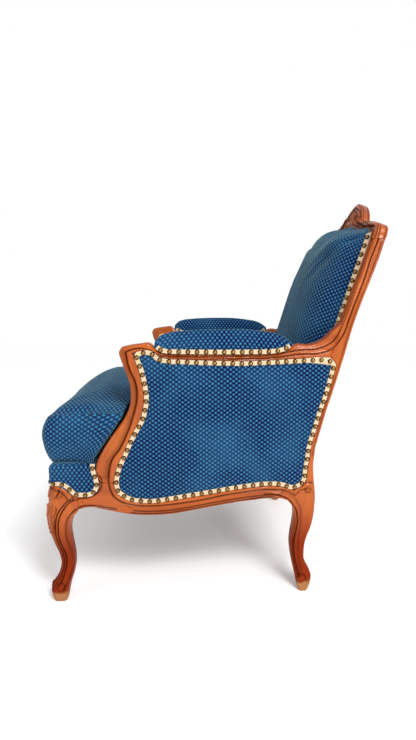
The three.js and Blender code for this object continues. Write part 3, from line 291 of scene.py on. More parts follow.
# Height, front edge and back edge of the rear post
POST = np.array([
    [0, 0.94, 0.971], [0.05, 0.933, 0.981], [0.1, 0.93, 0.986], [0.16, 0.925, 0.988], [0.25, 0.918, 0.972],
    [0.33, 0.912, 0.961], [0.41, 0.908, 0.96], [0.5, 0.906, 0.963], [0.59, 0.909, 0.972],
    [0.69, 0.915, 0.986], [0.79, 0.919, 0.994], [0.88, 0.917, 0.998], [0.95, 0.907, 0.999],
    [0.99, REAR_JOINT, 1], [RAIL_TOP, REAR_JOINT, 0.99], [1.21, 0.912, 0.988], [1.3, 0.935, 0.991],
    [BACK_FOOT, 0.944, 1], [1.49, 0.958, 1.05], [1.6, 0.975, 1.108], [1.7, 0.995, 1.17],
    [1.82, 1.044, 1.24], [1.923, 1.108, 1.297], [2.142, 1.25, 1.411], [2.26, 1.335, 1.486],
    [2.42, 1.443, 1.6], [2.58, 1.55, 1.706], [2.66, 1.6, 1.75],
])
# Height, and the front leg's front and back edge and inner face as shares of its top
FRONT_LEG = np.array([
    [0, 0.13, 0.524, 0.16], [0.035, 0.076, 0.552, 0.21], [0.09, 0.04, 0.58, 0.27],
    [0.135, 0.024, 0.608, 0.33], [0.18, 0.06, 0.638, 0.385], [0.23, 0.175, 0.69, 0.46],
    [0.28, 0.245, 0.722, 0.52], [0.34, 0.288, 0.748, 0.575], [0.4, 0.288, 0.754, 0.602],
    [0.45, 0.264, 0.75, 0.62], [0.51, 0.22, 0.732, 0.622], [0.575, 0.155, 0.708, 0.617],
    [0.64, 0.1, 0.688, 0.612], [0.71, 0.045, 0.666, 0.606], [0.78, 0.01, 0.67, 0.626],
    [0.85, -0.02, 0.72, 0.69], [0.915, -0.04, 0.83, 0.82], [0.955, -0.045, 0.925, 0.94],
    [0.985, -0.035, 1, 1], [1.07, 0, 1, 1], [1.12, 0.06, 1, 1], [RAIL_TOP, 0.13, 1, 1],
])
# Depth, lower edge and upper edge of the side rail
SIDE_RAIL = np.array([
    [0.11, 0.996, 1.08], [0.142, 1.008, 1.078], [0.176, 1.003, 1.098], [0.19, 0.991, 1.13],
    [0.195, 0.988, 1.166], [0.238, 0.958, 1.166], [0.244, 0.953, 1.125], [0.252, 0.947, 1.09],
    [0.265, 0.938, 1.072], [0.284, 0.926, 1.048], [0.312, 0.913, 1.03], [0.343, 0.904, 1.022],
    [0.389, 0.898, 1.018], [0.451, 0.904, 1.031], [0.529, 0.935, 1.049], [0.606, 0.97, 1.067],
    [0.683, 1.001, 1.085], [0.76, 1.014, 1.1], [0.83, 1.022, 1.105], [0.869, 1.015, 1.096],
    [REAR_JOINT, 1, 1.082],
])
# Front edge and inner edge of the arm support
SUPPORT = np.array([
    [0.284, 2, 0.321, 1.961], [0.274, 1.97, 0.326, 1.94], [0.277, 1.94, 0.331, 1.91],
    [0.288, 1.885, 0.34, 1.87], [0.3, 1.825, 0.348, 1.815], [0.309, 1.765, 0.354, 1.755],
    [0.31, 1.7, 0.357, 1.69], [0.305, 1.64, 0.353, 1.63], [0.285, 1.57, 0.341, 1.56],
    [0.258, 1.505, 0.318, 1.49], [0.23, 1.44, 0.295, 1.415], [0.204, 1.37, 0.277, 1.345],
    [0.184, 1.305, 0.26, 1.285], [0.176, 1.245, 0.247, 1.225], [0.189, RAIL_TOP, 0.241, RAIL_TOP],
])
# Upper edge and lower edge of the arm
ARM = np.array([
    [0.284, 2, 0.321, 1.961], [0.312, 2.011, 0.334, 1.972], [0.346, 2.019, 0.352, 1.979],
    [0.379, 2.022, 0.379, 1.982], [0.399, 1.995, 0.397, 1.969], [0.417, 1.969, 0.414, 1.943],
    [0.444, 1.959, 0.44, 1.931], [0.49, 1.956, 0.49, 1.925], [0.567, 1.954, 0.567, 1.918],
    [0.64, 1.952, 0.64, 1.913], [0.706, 1.951, 0.706, 1.91], [0.791, 1.951, 0.791, 1.913],
    [0.838, 1.956, 0.838, 1.915], [0.869, 1.969, 0.866, 1.918], [0.89, 1.995, 0.887, 1.919],
    [0.915, 2.008, 0.912, 1.92], [0.949, 2.005, 0.937, 1.923], [0.983, 2.016, 0.958, 1.925],
    [1.045, 2.045, 0.98, 1.925], [1.12, 2.085, 1.02, 1.924], [1.216, 2.142, 1.103, 1.923],
])
# Length and top of the arm pad
ARM_PAD = np.array([
    [0.399, 2.035], [0.417, 2.066], [0.444, 2.084], [0.49, 2.095], [0.567, 2.104], [0.64, 2.106],
    [0.706, 2.105], [0.791, 2.09], [0.838, 2.075], [0.869, 2.05], [0.89, 2.022],
])
# Rear edge of the side panel's opening
PANEL_REAR = np.array([
    [0.907, 1.075], [0.93, 1.082], [0.95, 1.103], [0.96, 1.131], [0.966, 1.208], [0.971, 1.272],
    [0.975, 1.339], [0.983, 1.406], [0.995, 1.47], [1.016, 1.535], [1.054, 1.599], [1.097, 1.661],
    [1.13, 1.725], [1.162, 1.787], [1.189, 1.848], [1.2, 1.885], [1.17, 1.905],
])
# Half of the crest rail: outer edge and inner edge, each as a share of the shoulder and a height
CREST = np.array([
    [0, 3, 0, 2.817], [0.045, 2.995, 0.04, 2.816], [0.13, 2.972, 0.115, 2.812], [0.225, 2.933, 0.21, 2.798],
    [0.3, 2.887, 0.29, 2.785], [0.355, 2.85, 0.36, 2.774], [0.45, 2.832, 0.45, 2.766],
    [0.59, 2.812, 0.57, 2.756], [0.74, 2.793, 0.69, 2.747], [0.86, 2.775, 0.78, 2.737],
    [0.935, 2.758, 0.83, 2.724], [0.98, 2.735, 0.862, 2.705], [1, 2.7, 0.874, 2.683],
    [1, 2.66, 0.8763, 2.66],
])
# Front rail: share of the way from the middle to the leg, lower edge and upper edge
FRONT_RAIL = np.array([
    [0, 0.885, 1.078], [0.07, 0.893, 1.078], [0.15, 0.918, 1.078], [0.24, 0.928, 1.078],
    [0.38, 0.915, 1.078], [0.52, 0.925, 1.078], [0.68, 0.962, 1.078], [0.82, 0.996, 1.078],
    [0.92, 1.006, 1.078], [1, 0.996, 1.08],
])
# Lower edge of the platform's border: distance from the seat's corner, and height
SKIRT = np.array([[0, 1.175], [0.045, 1.147], [0.063, 1.131], [0.082, 1.1], [0.1, 1.083], [0.142, 1.078]])
# Lower edge of the platform's braid: distance round from the seat's front corner, and height
BRAID_EDGE = millimetres(
    (0, 291), (12, 291), (28, 288), (39, 280), (50, 267.5), (58, 262.5), (70, 261.5), (86, 261), (98, 264.5),
    (108, 274), (113.5, 288), (113, 304), (109.5, 320), (107.5, 332), (108.5, 343),
)
# Inner side pad: front edge, depths of its foot, rear edge and upper edge
INNER_PAD_FRONT = np.array([[0.335, 1.91], [0.352, 1.83], [0.362, 1.7], [0.35, 1.6], [0.31, 1.48], [0.275, 1.38]])
INNER_PAD_FOOT = np.array([0.262, 0.4, 0.55, 0.7, 0.82, 0.885])
INNER_PAD_REAR = np.array([[0.9, 1.4], [0.912, 1.5], [0.925, 1.6], [0.94, 1.7], [0.965, 1.82], [0.985, 1.89]])
INNER_PAD_TOP = np.array([[0.93, 1.91], [0.85, 1.91], [0.7, 1.9], [0.55, 1.91], [0.42, 1.925]])


@dataclass
class Skin:
    """A surface as a grid of points whose columns run round in a ring, with what its finish needs at each.

    Attributes:
        points: the grid, rows by columns by 3.
        looped: whether the rows run round in a ring, as the columns do.
        poled: whether its ends are closed with a fan to their middle; else they get one face each.
        stain_and_shade: how dark the finish is drawn, 0 to 1, rows by columns: painted shade in grooves and hollows,
            with the finish gathered there.
        weave: cloth coordinates in metres, rows by columns by 2, or with the first column again behind the last.
        upper_weave: the same for the second cloth panel of a sewn piece.
        seam: the row where the second panel starts.
    """

    points: Array
    looped: bool = False
    poled: bool = False
    stain_and_shade: Optional[Array] = None
    weave: Optional[Array] = None
    upper_weave: Optional[Array] = None
    seam: int = 0

    def faces(self) -> Array:
        """Corner numbers of the grid's quads, four to a row.

        Returns:
            A row for each quad.
        """
        rows, cols = self.points.shape[:2]
        numbers = self.wrapped(np.arange(rows * cols).reshape(rows, cols, 1))[..., 0]
        return self.quads(numbers).reshape(-1, 4)

    def quads(self, grid: Array) -> Array:
        """What a grid holds at the four corners of its quads, by row, column and corner."""
        return np.stack([grid[:-1, :-1], grid[:-1, 1:], grid[1:, 1:], grid[1:, :-1]], axis=2)

    @property
    def upper(self) -> Optional[Array]:
        """Cloth coordinates beyond the seam."""
        return self.weave if self.upper_weave is None else self.upper_weave

    def cloth(self) -> Array:
        """Cloth coordinates at the four corners of each face.

        Returns:
            Two numbers for each corner, by face and corner.
        """
        if self.weave is None:
            return np.zeros((len(self.faces()), 4, 2))
        panels = [self.quads(self.wrapped(sheet)) for sheet in (self.weave, self.upper)]
        return np.concatenate([panels[0][: self.seam], panels[1][self.seam:]]).reshape(-1, 4, 2)

    def wrapped(self, grid: Array) -> Array:
        """Repeats the first column, and the first row of a looped skin, where they are missing.

        Args:
            grid: a value for each point, rows by columns.

        Returns:
            The grid with what was missing.
        """
        rows, cols = self.points.shape[:2]
        if grid.shape[1] == cols:
            grid = np.concatenate([grid, grid[:, :1]], axis=1)
        if self.looped and grid.shape[0] == rows:
            grid = np.concatenate([grid, grid[:1]], axis=0)
        return grid


def linked(name: str, data: bpy.types.ID) -> bpy.types.Object:
    """A new object of some data, in the scene.

    Args:
        name: the object's name.
        data: what it shows.

    Returns:
        The object.
    """
    made = bpy.data.objects.new(name, data)
    bpy.context.scene.collection.objects.link(made)
    return made


def volume(points: Array, faces: Array) -> float:
    """Six times the volume inside faces: the sum of a . (b x c) over their triangles, negative if they face in.

    Args:
        points: the corners.
        faces: their numbers, a row for each face.

    Returns:
        The volume.
    """
    total = 0.0
    for second in range(1, faces.shape[1] - 1):
        a, b, c = (points[faces[:, k]] for k in (0, second, second + 1))
        total += float(np.einsum("ij,ij->", a, np.cross(b, c)))
    return total


class Maker:
    """Turns skins into finished pieces that ride on the frame."""

    def __init__(self) -> None:
        """Starts counting the pieces."""
        self.count = 0

    def piece(self, name: str, body: Array, faces: Sequence[Sequence[int]]) -> bpy.types.Object:
        """Makes one smooth object.

        Args:
            name: its name.
            body: its points, with how dark each is drawn, painted shade included, as a fourth column.
            faces: the corner numbers of each face.

        Returns:
            The object, at the origin, with its place in its mesh.
        """
        data = bpy.data.meshes.new(name)
        data.from_pydata(body[:, :3].tolist(), [], faces)
        data.polygons.foreach_set("use_smooth", np.ones(len(data.polygons), bool))
        data.attributes.new("stain_and_shade", "FLOAT", "POINT").data.foreach_set("value", body[:, 3].astype(np.float32))
        data.update()
        return linked(name, data)

    def poles(self, skin: Skin, body: Array) -> tuple[Array, Array, Array]:
        """The fans that close both ends of a skin.

        Args:
            skin: the surface.
            body: its points and how dark each is drawn, in one list.

        Returns:
            The two middles, the fans' corner numbers and their cloth coordinates.
        """
        rows, cols = skin.points.shape[:2]
        middles, fans, cloth = [], [], []
        for row, sheet, way in ((0, skin.weave, -1), (rows - 1, skin.upper, 1)):
            end = np.arange(cols) + row * cols
            middles.append(body[end].mean(axis=0))
            fans.append(np.stack([*[end, np.roll(end, -1)][::way], np.full(cols, rows * cols + len(fans))], axis=1))
            edge = np.zeros((cols + 1, 2)) if sheet is None else skin.wrapped(sheet)[row]
            middle = np.broadcast_to(edge[:-1].mean(axis=0), (cols, 2))
            cloth.append(np.stack([*[edge[:-1], edge[1:]][::way], middle], axis=1))
        return np.array(middles), np.vstack(fans), np.vstack(cloth)

    def mesh(self, name: str, skin: Skin, mirror: bool = False) -> bpy.types.Object:
        """Makes an object of a skin, turned to face outwards.

        Args:
            name: the piece's name.
            skin: its surface.
            mirror: whether to make it on the sitter's right.

        Returns:
            The object.
        """
        rows, cols = skin.points.shape[:2]
        stain_and_shade = np.zeros((rows, cols)) if skin.stain_and_shade is None else skin.stain_and_shade
        body = np.concatenate([skin.points, stain_and_shade[..., None]], axis=-1).reshape(-1, 4)
        if mirror:
            body[:, 0] *= -1.0
        groups, caps = [(skin.faces(), skin.cloth())], []
        if skin.poled:
            middles, *fans = self.poles(skin, body)
            body = np.vstack([body, middles])
            groups.append(tuple(fans))
        elif not skin.looped:
            caps = [list(range(cols))[::-1], list(range((rows - 1) * cols, rows * cols))]
        way = -1 if sum(volume(body[:, :3], corners) for corners, _ in groups) < 0 else 1
        faces = [face for corners, _ in groups for face in corners[:, ::way].tolist()]
        made = self.piece(name, body, faces + [cap[::way] for cap in caps])
        if skin.weave is not None:
            cloth = [sheet[:, ::way].reshape(-1, 2) for _, sheet in groups]
            cloth.append(np.zeros((sum(map(len, caps)), 2)))
            layer = made.data.uv_layers.new(name="weave")
            layer.data.foreach_set("uv", np.vstack(cloth).astype(np.float32).ravel())
        made.data.set_sharp_from_angle(angle=math.radians(50))
        return made

    def dress(
        self,
        piece: bpy.types.Object,
        finish: bpy.types.Material,
        slot: str,
        replaces: Sequence[str] = (),
        body: str = "chair",
    ) -> None:
        """Gives a piece its finish and its body, and hides the CAD nodes it stands for.

        Args:
            piece: the finished piece.
            finish: its material.
            slot: a material slot's name; not used.
            replaces: CAD nodes that it stands for.
            body: the body that it rides on.
        """
        piece.data.materials.clear()
        piece.data.materials.append(finish)
        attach(piece, body)
        if replaces:
            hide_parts(*replaces)
        self.count += 1
        log.info("%s: %d faces", piece.name, len(piece.data.polygons))

    def cover(
        self,
        name: str,
        skin: Skin,
        finish: bpy.types.Material,
        node: str,
        mirror: bool = False,
        stuff: Optional[Callable[[bpy.types.Object], None]] = None,
        body: str = "chair",
    ) -> None:
        """Makes a stuffed piece of the blue cloth.

        Args:
            name: its name.
            skin: its surface.
            finish: the cloth, with its ovals one way or the other.
            node: the CAD node it stands for.
            mirror: whether to make it on the sitter's right.
            stuff: fills it by simulation, if anything does.
            body: the body that it rides on.
        """
        piece = self.mesh(name, skin, mirror)
        if stuff:
            stuff(piece)
        self.dress(piece, finish, "blue_fabric", [node], body)


Colour = tuple[float, float, float]
Given = Union[float, int, Sequence[float], "Socket"]


def arithmetic(operation: str, first: bool = True) -> Callable[["Socket", Given], "Socket"]:
    """A method that adds one Math node, with the other value behind its own or before it.

    Args:
        operation: the node's operation.
        first: whether the own value stands before the other.

    Returns:
        The method.
    """

    def method(self: "Socket", other: Given) -> "Socket":
        """The node's result."""
        return self.maths(operation, other, first=first)

    return method


class Socket:
    """One output of a node, with arithmetic that adds Math nodes."""

    __add__ = __radd__ = arithmetic("ADD")
    __sub__, __rsub__ = arithmetic("SUBTRACT"), arithmetic("SUBTRACT", first=False)
    __mul__ = __rmul__ = arithmetic("MULTIPLY")
    __truediv__, __pow__ = arithmetic("DIVIDE"), arithmetic("POWER")

    def __init__(self, recipe: "Recipe", output: bpy.types.NodeSocket) -> None:
        """Keeps the recipe that the output belongs to."""
        self.recipe = recipe
        self.output = output

    def maths(self, operation: str, *others: Given, first: bool = True) -> "Socket":
        """A Math node on this value and others.

        Args:
            operation: the node's operation.
            others: the other values.
            first: whether this value stands before the others.

        Returns:
            The result.
        """
        values = [self, *others] if first else [*others, self]
        return self.recipe.node("ShaderNodeMath", {"operation": operation}, dict(enumerate(values)))

    def soft(self, low: float, high: float) -> "Socket":
        """Rises softly from 0 at low to 1 at high."""
        settings = {"interpolation_type": "SMOOTHSTEP"}
        return self.recipe.node("ShaderNodeMapRange", settings, {"Value": self, "From Min": low, "From Max": high})


class Recipe:
    """The nodes of one material."""

    def __init__(self, name: str) -> None:
        """Starts an empty material.

        Args:
            name: the material's name.
        """
        self.material = bpy.data.materials.new(name)
        self.material.use_nodes = True
        self.tree = self.material.node_tree
        self.tree.nodes.clear()

    def node(
        self,
        kind: str,
        settings: Optional[Mapping[str, object]] = None,
        inputs: Optional[Mapping[Union[int, str], Given]] = None,
        out: Union[int, str] = 0,
    ) -> Socket:
        """Adds any node.

        Args:
            kind: the node's type.
            settings: its own settings, set first.
            inputs: a value or a link for each socket, by name or number.
            out: which output comes back.

        Returns:
            The output.
        """
        made = self.tree.nodes.new(kind)
        for key, value in (settings or {}).items():
            setattr(made, key, value)
        for key, value in (inputs or {}).items():
            if isinstance(value, Socket):
                self.tree.links.new(value.output, made.inputs[key])
            else:
                made.inputs[key].default_value = value
        return Socket(self, made.outputs[out])

    def noise(self, where: Socket, scale: float, detail: float = 2.0, roughness: float = 0.5) -> Socket:
        """Soft noise over a place, about 0.5 in the middle.

        Args:
            where: coordinates in metres.
            scale: lumps to a metre.
            detail: octaves.
            roughness: weight of the finer octaves.

        Returns:
            The noise, 0 to 1.
        """
        inputs = {"Vector": where, "Scale": scale, "Detail": detail, "Roughness": roughness}
        return self.node("ShaderNodeTexNoise", {}, inputs)

    def blend(self, share: Given, first: Given, second: Given) -> Socket:
        """Mixes two colours.

        Args:
            share: how much of the second shows.
            first: the colour at 0.
            second: the colour at 1.

        Returns:
            The mixed colour.
        """
        colours = [value if isinstance(value, Socket) else (*value, 1.0) for value in (first, second)]
        settings = {"data_type": "RGBA", "clamp_factor": True}
        return self.node("ShaderNodeMix", settings, {0: share, 6: colours[0], 7: colours[1]}, out=2)

    def here(self) -> Socket:
        """Object coordinates."""
        return self.node("ShaderNodeTexCoord", out="Object")

    def stretched(self, scale: Sequence[float]) -> Socket:
        """Object coordinates, stretched along an axis."""
        return self.node("ShaderNodeMapping", {}, {"Vector": self.here(), "Scale": scale})

    def sheet(self) -> Socket:
        """Cloth coordinates."""
        return self.node("ShaderNodeUVMap", {"uv_map": "weave"})

    def stain_and_shade(self) -> Socket:
        """How dark each point is drawn: painted shade with gathered finish in the carving, lacquer round the nails'
        rims.
        """
        return self.node("ShaderNodeAttribute", {"attribute_name": "stain_and_shade"}, out="Fac")

    def axes(self, where: Socket, *numbers: int) -> list[Socket]:
        """Single coordinates of a place."""
        return [self.node("ShaderNodeSeparateXYZ", {}, {0: where}, out=number) for number in numbers]

    def close(
        self,
        base: Given,
        roughness: Given,
        height: Optional[Socket] = None,
        lift: float = 0.0,
        **constants: Given,
    ) -> bpy.types.Material:
        """Ends the recipe with its shader.

        Args:
            base: the surface's colour.
            roughness: its roughness.
            height: relief, 0 to 1, if it has any.
            lift: the relief's height in metres.
            constants: the shader's other sockets, with spaces as underscores.

        Returns:
            The material.
        """
        inputs = {key.replace("_", " "): value for key, value in constants.items()}
        inputs["Base Color"] = base if isinstance(base, Socket) else (*base, 1.0)
        inputs["Roughness"] = roughness
        if height is not None:
            inputs["Normal"] = self.node("ShaderNodeBump", {}, {"Height": height, "Distance": lift})
        surface = self.node("ShaderNodeBsdfPrincipled", {}, inputs)
        output = self.tree.nodes.new("ShaderNodeOutputMaterial")
        self.tree.links.new(surface.output, output.inputs["Surface"])
        return self.material


class Grain(Enum):
    """Which way a board's grain runs: its stretch of the coordinates."""

    UPRIGHT = (1.0, 1.0, 0.1)
    ALONG = (1.0, 0.1, 1.0)
    ACROSS = (0.1, 1.0, 1.0)


@dataclass(frozen=True)
class StainedBeech:
    """Stained and waxed beech, darker in the carving by painted shade with the finish gathered there, and darker low
    down by painted shade.

    Attributes:
        name: the material's name.
        grain: which way the grain runs.
        warm: the wood on its broad faces.
        deep: the wood along its darker streaks.
        painted_leg_shade: painted shade on the wood low down, where less light falls.
        dark_stain_and_shade: painted shade in the grooves with the finish gathered there, and the dark specks.
        worn: bare wood at the foot.
        foot: height up to which the foot is worn.
    """

    name: str
    grain: Grain
    warm: Colour = (0.445, 0.098, 0.0105)
    deep: Colour = (0.24, 0.034, 0.003)
    painted_leg_shade: Colour = (0.180, 0.0140, 0.0002)
    dark_stain_and_shade: Colour = (0.030, 0.0035, 0.0015)
    worn: Colour = (0.36, 0.17, 0.065)
    foot: float = 0.024

    def build(self) -> bpy.types.Material:
        """Streaks of stretched noise between two browns, pores, dark specks, painted shade in the grooves and low down,
        and a worn foot.

        Returns:
            The material.
        """
        recipe = Recipe(self.name)
        grain = recipe.stretched(self.grain.value)
        here = recipe.here()
        streak = recipe.noise(grain, 34.0, 4.0, 0.6)
        pores = recipe.noise(grain, 420.0, 2.0, 0.6)
        cloud = recipe.noise(here, 9.0, 2.0)
        colour = recipe.blend(streak.soft(0.32, 0.72) * 0.55 + cloud.soft(0.35, 0.7) * 0.25, self.warm, self.deep)
        colour = recipe.blend(pores.soft(0.56, 0.72) * 0.3, colour, self.deep)
        specks = recipe.noise(here, 240.0, 1.0).soft(0.735, 0.76)
        colour = recipe.blend(specks * 0.75, colour, self.dark_stain_and_shade)
        height, = recipe.axes(here, 2)
        upper = (height + 0.03 * cloud).soft(0.12, 0.25)
        # Painted shade: the wood low down turns darker below about 0.25 m, for the light that reaches it less.
        colour = recipe.blend((1.0 - upper) * 0.9, colour, self.painted_leg_shade)
        # Painted shade in the carving's grooves and hollows, with the finish gathered there.
        stain_and_shade = recipe.stain_and_shade()
        uneven = stain_and_shade * (0.8 + 0.35 * recipe.noise(here, 60.0, 2.0))
        colour = recipe.blend(uneven, colour, self.dark_stain_and_shade)
        ragged = height + 0.012 * recipe.noise(here, 70.0, 3.0)
        bare = 1.0 - ragged.soft(self.foot, self.foot + 0.008)
        colour = recipe.blend(bare * 0.8, colour, self.worn)
        rough = 0.3 + 0.12 * pores + 0.35 * uneven + 0.3 * bare
        return recipe.close(
            colour, rough, streak * 0.4 + pores * 0.6, 0.00025, Specular_IOR_Level=0.07,
            Coat_Weight=(0.02 + 0.5 * upper) * (1.0 - 0.8 * uneven), Coat_Roughness=0.12,
        )


@dataclass(frozen=True)
class PlainBeech:
    """Sawn beech inside the seat and back.

    Attributes:
        pale: the wood.
        streak: its darker streaks.
    """

    pale: Colour = (0.55, 0.38, 0.21)
    streak: Colour = (0.36, 0.21, 0.10)

    def build(self) -> bpy.types.Material:
        """Stretched noise between two browns, with saw marks across the grain.

        Returns:
            The material.
        """
        recipe = Recipe("plain_beech")
        grain = recipe.stretched(Grain.ACROSS.value)
        figure = recipe.noise(grain, 60.0, 4.0, 0.6)
        marks = recipe.noise(recipe.stretched((1.0, 0.3, 0.3)), 500.0, 1.0)
        colour = recipe.blend(figure.soft(0.3, 0.7), self.pale, self.streak)
        return recipe.close(colour, 0.6 + 0.2 * marks, figure * 0.5 + marks * 0.5, 0.0003)


class Lie(Enum):
    """Which way the cloth's ovals lie on a piece: along its first or its second coordinate."""

    ALONG = 0
    UP = 1


@dataclass(frozen=True)
class BlueCloth:
    """The chair's blue upholstery cloth: staggered dark ovals sunk between plump lighter cells.

    Attributes:
        name: the material's name.
        lie: which way the ovals lie.
        pitch: from one oval to the next in a row.
        row: from one row to the next.
        bright: the plump cells.
        mid: the ground.
        dark: the ovals.
    """

    name: str
    lie: Lie = Lie.ALONG
    pitch: float = 0.0140
    row: float = 0.0054
    bright: Colour = (0.053, 0.222, 0.400)
    mid: Colour = (0.006, 0.034, 0.112)
    dark: Colour = (0.0004, 0.0009, 0.021)

    def build(self) -> bpy.types.Material:
        """Each cell's place in a brick bond gives an oval's distance; threads run across the cells.

        Returns:
            The material.
        """
        recipe = Recipe(self.name)
        sheet = recipe.sheet()
        u, v = recipe.axes(sheet, 0, 1)
        if self.lie is Lie.UP:
            u, v = v, u
        wobble = recipe.noise(sheet, 130.0, 1.0) - 0.5
        rows = v / self.row + wobble * 0.25
        number = rows.maths("FLOOR")
        odd = (number * 0.5).maths("FRACT")
        across = (u / self.pitch + odd + wobble * 0.2).maths("FRACT") - 0.5
        up = rows.maths("FRACT") - 0.5
        away = (across / 0.33) ** 2.0 + (up / 0.43) ** 2.0
        oval = 1.0 - away.soft(0.45, 1.1)
        beside = across.maths("ABSOLUTE") - 0.5
        cell = 1.0 - ((beside / 0.19) ** 2.0 + (up / 0.5) ** 2.0).soft(0.0, 1.1)
        threads = recipe.node(
            "ShaderNodeTexWave", {"bands_direction": "X"}, {"Vector": sheet, "Scale": 420.0, "Distortion": 1.5}, out=1
        )
        fibres = recipe.noise(sheet, 900.0, 2.0)
        shade = recipe.noise(recipe.here(), 7.0, 2.0)
        colour = recipe.blend(cell * 0.85, self.mid, self.bright)
        colour = recipe.blend(oval, colour, self.dark)
        colour = recipe.blend(fibres.soft(0.45, 0.8) * 0.35, colour, self.mid)
        colour = recipe.blend(shade.soft(0.4, 0.75) * 0.16, colour, self.bright)
        height = (1.0 - oval) * 0.62 + cell * 0.26 + threads * 0.07 + fibres * 0.05
        return recipe.close(
            colour, 0.72 + 0.18 * oval, height, 0.0011,
            Sheen_Weight=0.3, Sheen_Roughness=0.42, Sheen_Tint=(0.48, 0.76, 0.66, 1.0), Specular_IOR_Level=0.06,
        )


@dataclass(frozen=True)
class CreamBraid:
    """Woven cream braid: two rows of slanting loops with a thin cord at each edge.

    Attributes:
        width: the braid's width.
        loop: from one loop to the next.
        cream: the threads.
        shade_and_age: painted shade between the loops, also the darkening of age in patches.
    """

    width: float = 0.011
    loop: float = 0.0034
    cream: Colour = (0.80, 0.62, 0.41)
    shade_and_age: Colour = (0.36, 0.22, 0.10)

    def build(self) -> bpy.types.Material:
        """A wave along the braid, slanted one way on each half, sunk at the middle and beside the edges.

        Returns:
            The material.
        """
        recipe = Recipe("cream_braid")
        sheet = recipe.sheet()
        u, v = recipe.axes(sheet, 0, 1)
        middle = (v / self.width - 0.5).maths("ABSOLUTE")
        slanted = u / self.loop + middle * 1.6
        loops = (slanted * (2.0 * math.pi)).maths("SINE") * 0.5 + 0.5
        edge = 1.0 - (middle - 0.4).maths("ABSOLUTE").soft(0.0, 0.05)
        seam = 1.0 - middle.soft(0.0, 0.06)
        relief = loops * 0.8 + 0.2 - edge * 0.5 - seam * 0.35
        fibres = recipe.noise(sheet, 1500.0, 2.0)
        age = recipe.noise(recipe.here(), 14.0, 3.0)
        # Painted shade where the relief sinks: between the loops, at the middle and beside the edges.
        colour = recipe.blend(relief.soft(0.0, 0.55), self.shade_and_age, self.cream)
        colour = recipe.blend(age.soft(0.5, 0.8) * 0.25, colour, self.shade_and_age)
        return recipe.close(
            colour, 0.8, relief * 0.85 + fibres * 0.15, 0.0007, Sheen_Weight=0.2, Specular_IOR_Level=0.2
        )


@dataclass(frozen=True)
class AntiqueBrass:
    """Dull brass nail heads with brown lacquer round their rims.

    Attributes:
        bright: the rubbed crown.
        patina: the lacquer.
    """

    bright: Colour = (0.42, 0.23, 0.075)
    patina: Colour = (0.044, 0.016, 0.004)

    def build(self) -> bpy.types.Material:
        """The stain attribute is the distance from a head's crown; noise breaks up the lacquer.

        Returns:
            The material.
        """
        recipe = Recipe("antique_brass")
        here = recipe.here()
        rim = recipe.stain_and_shade()
        blotch = recipe.noise(here, 420.0, 2.0)
        share = (rim * 0.85 + blotch * 0.4).soft(0.05, 0.72)
        colour = recipe.blend(share, self.bright, self.patina)
        return recipe.close(colour, 0.26 + 0.22 * blotch, blotch, 0.0001, Metallic=0.9)


@dataclass(frozen=True)
class Sackcloth:
    """Plain woven jute or cotton: crossing threads.

    Attributes:
        name: the material's name.
        thread: the threads.
        gap: between them.
        count: threads to a metre.
    """

    name: str
    thread: Colour
    gap: Colour
    count: float

    def build(self) -> bpy.types.Material:
        """Two sine waves across each other on the object's own coordinates.

        Returns:
            The material.
        """
        recipe = Recipe(self.name)
        here = recipe.here()
        x, y, z = recipe.axes(here, 0, 1, 2)
        turn = self.count * 2.0 * math.pi
        one = ((x + z * 0.3) * turn).maths("SINE")
        two = ((y + z) * turn).maths("SINE")
        woven = (one * two) * 0.5 + 0.5
        slubs = recipe.noise(here, 320.0, 2.0)
        colour = recipe.blend(woven * 0.7 + slubs * 0.3, self.gap, self.thread)
        return recipe.close(colour, 0.9, woven * 0.7 + slubs * 0.3, 0.0005, Sheen_Weight=0.15)


@dataclass(frozen=True)
class SpringWire:
    """Coppered steel wire.

    Attributes:
        wire: its colour.
        dull: tarnish.
    """

    wire: Colour = (0.55, 0.40, 0.28)
    dull: Colour = (0.20, 0.14, 0.10)

    def build(self) -> bpy.types.Material:
        """Tarnish in patches of noise.

        Returns:
            The material.
        """
        recipe = Recipe("spring_wire")
        patches = recipe.noise(recipe.here(), 90.0, 3.0)
        colour = recipe.blend(patches.soft(0.45, 0.7), self.wire, self.dull)
        return recipe.close(colour, 0.32 + 0.25 * patches, patches, 0.0001, Metallic=1.0)


@dataclass(frozen=True)
class StudioPaper:
    """The pale floor.

    Attributes:
        pale: its colour.
    """

    pale: Colour = (0.93, 0.93, 0.93)

    def build(self) -> bpy.types.Material:
        """Matt paper with a faint tooth.

        Returns:
            The material.
        """
        recipe = Recipe("studio_paper")
        tooth = recipe.noise(recipe.here(), 60.0, 2.0)
        return recipe.close(
            self.pale, 0.95, tooth, 0.0001, Specular_IOR_Level=0.1, Emission_Color=(1.0, 1.0, 1.0, 1.0),
            Emission_Strength=0.1,
        )


def distance_to(line: Array, places: Array, reach: float = 0.02) -> Array:
    """The shortest distance from places to a line of points.

    Args:
        line: its points.
        places: where to measure from.
        reach: the distance at which it stops mattering; farther places get this one.

    Returns:
        The distances.
    """
    away = np.full(len(places), reach * reach)
    inside = np.all((places > line.min(axis=0) - reach) & (places < line.max(axis=0) + reach), axis=1)
    near, best = places[inside], away[inside]
    for start, end in zip(line[:-1], line[1:]):
        along = end - start
        share = np.clip((near - start) @ along / max(float(along @ along), 1e-12), 0.0, 1.0)
        gap = near - start - share[:, None] * along
        best = np.minimum(best, np.einsum("ij,ij->i", gap, gap))
    away[inside] = best
    return np.sqrt(away)


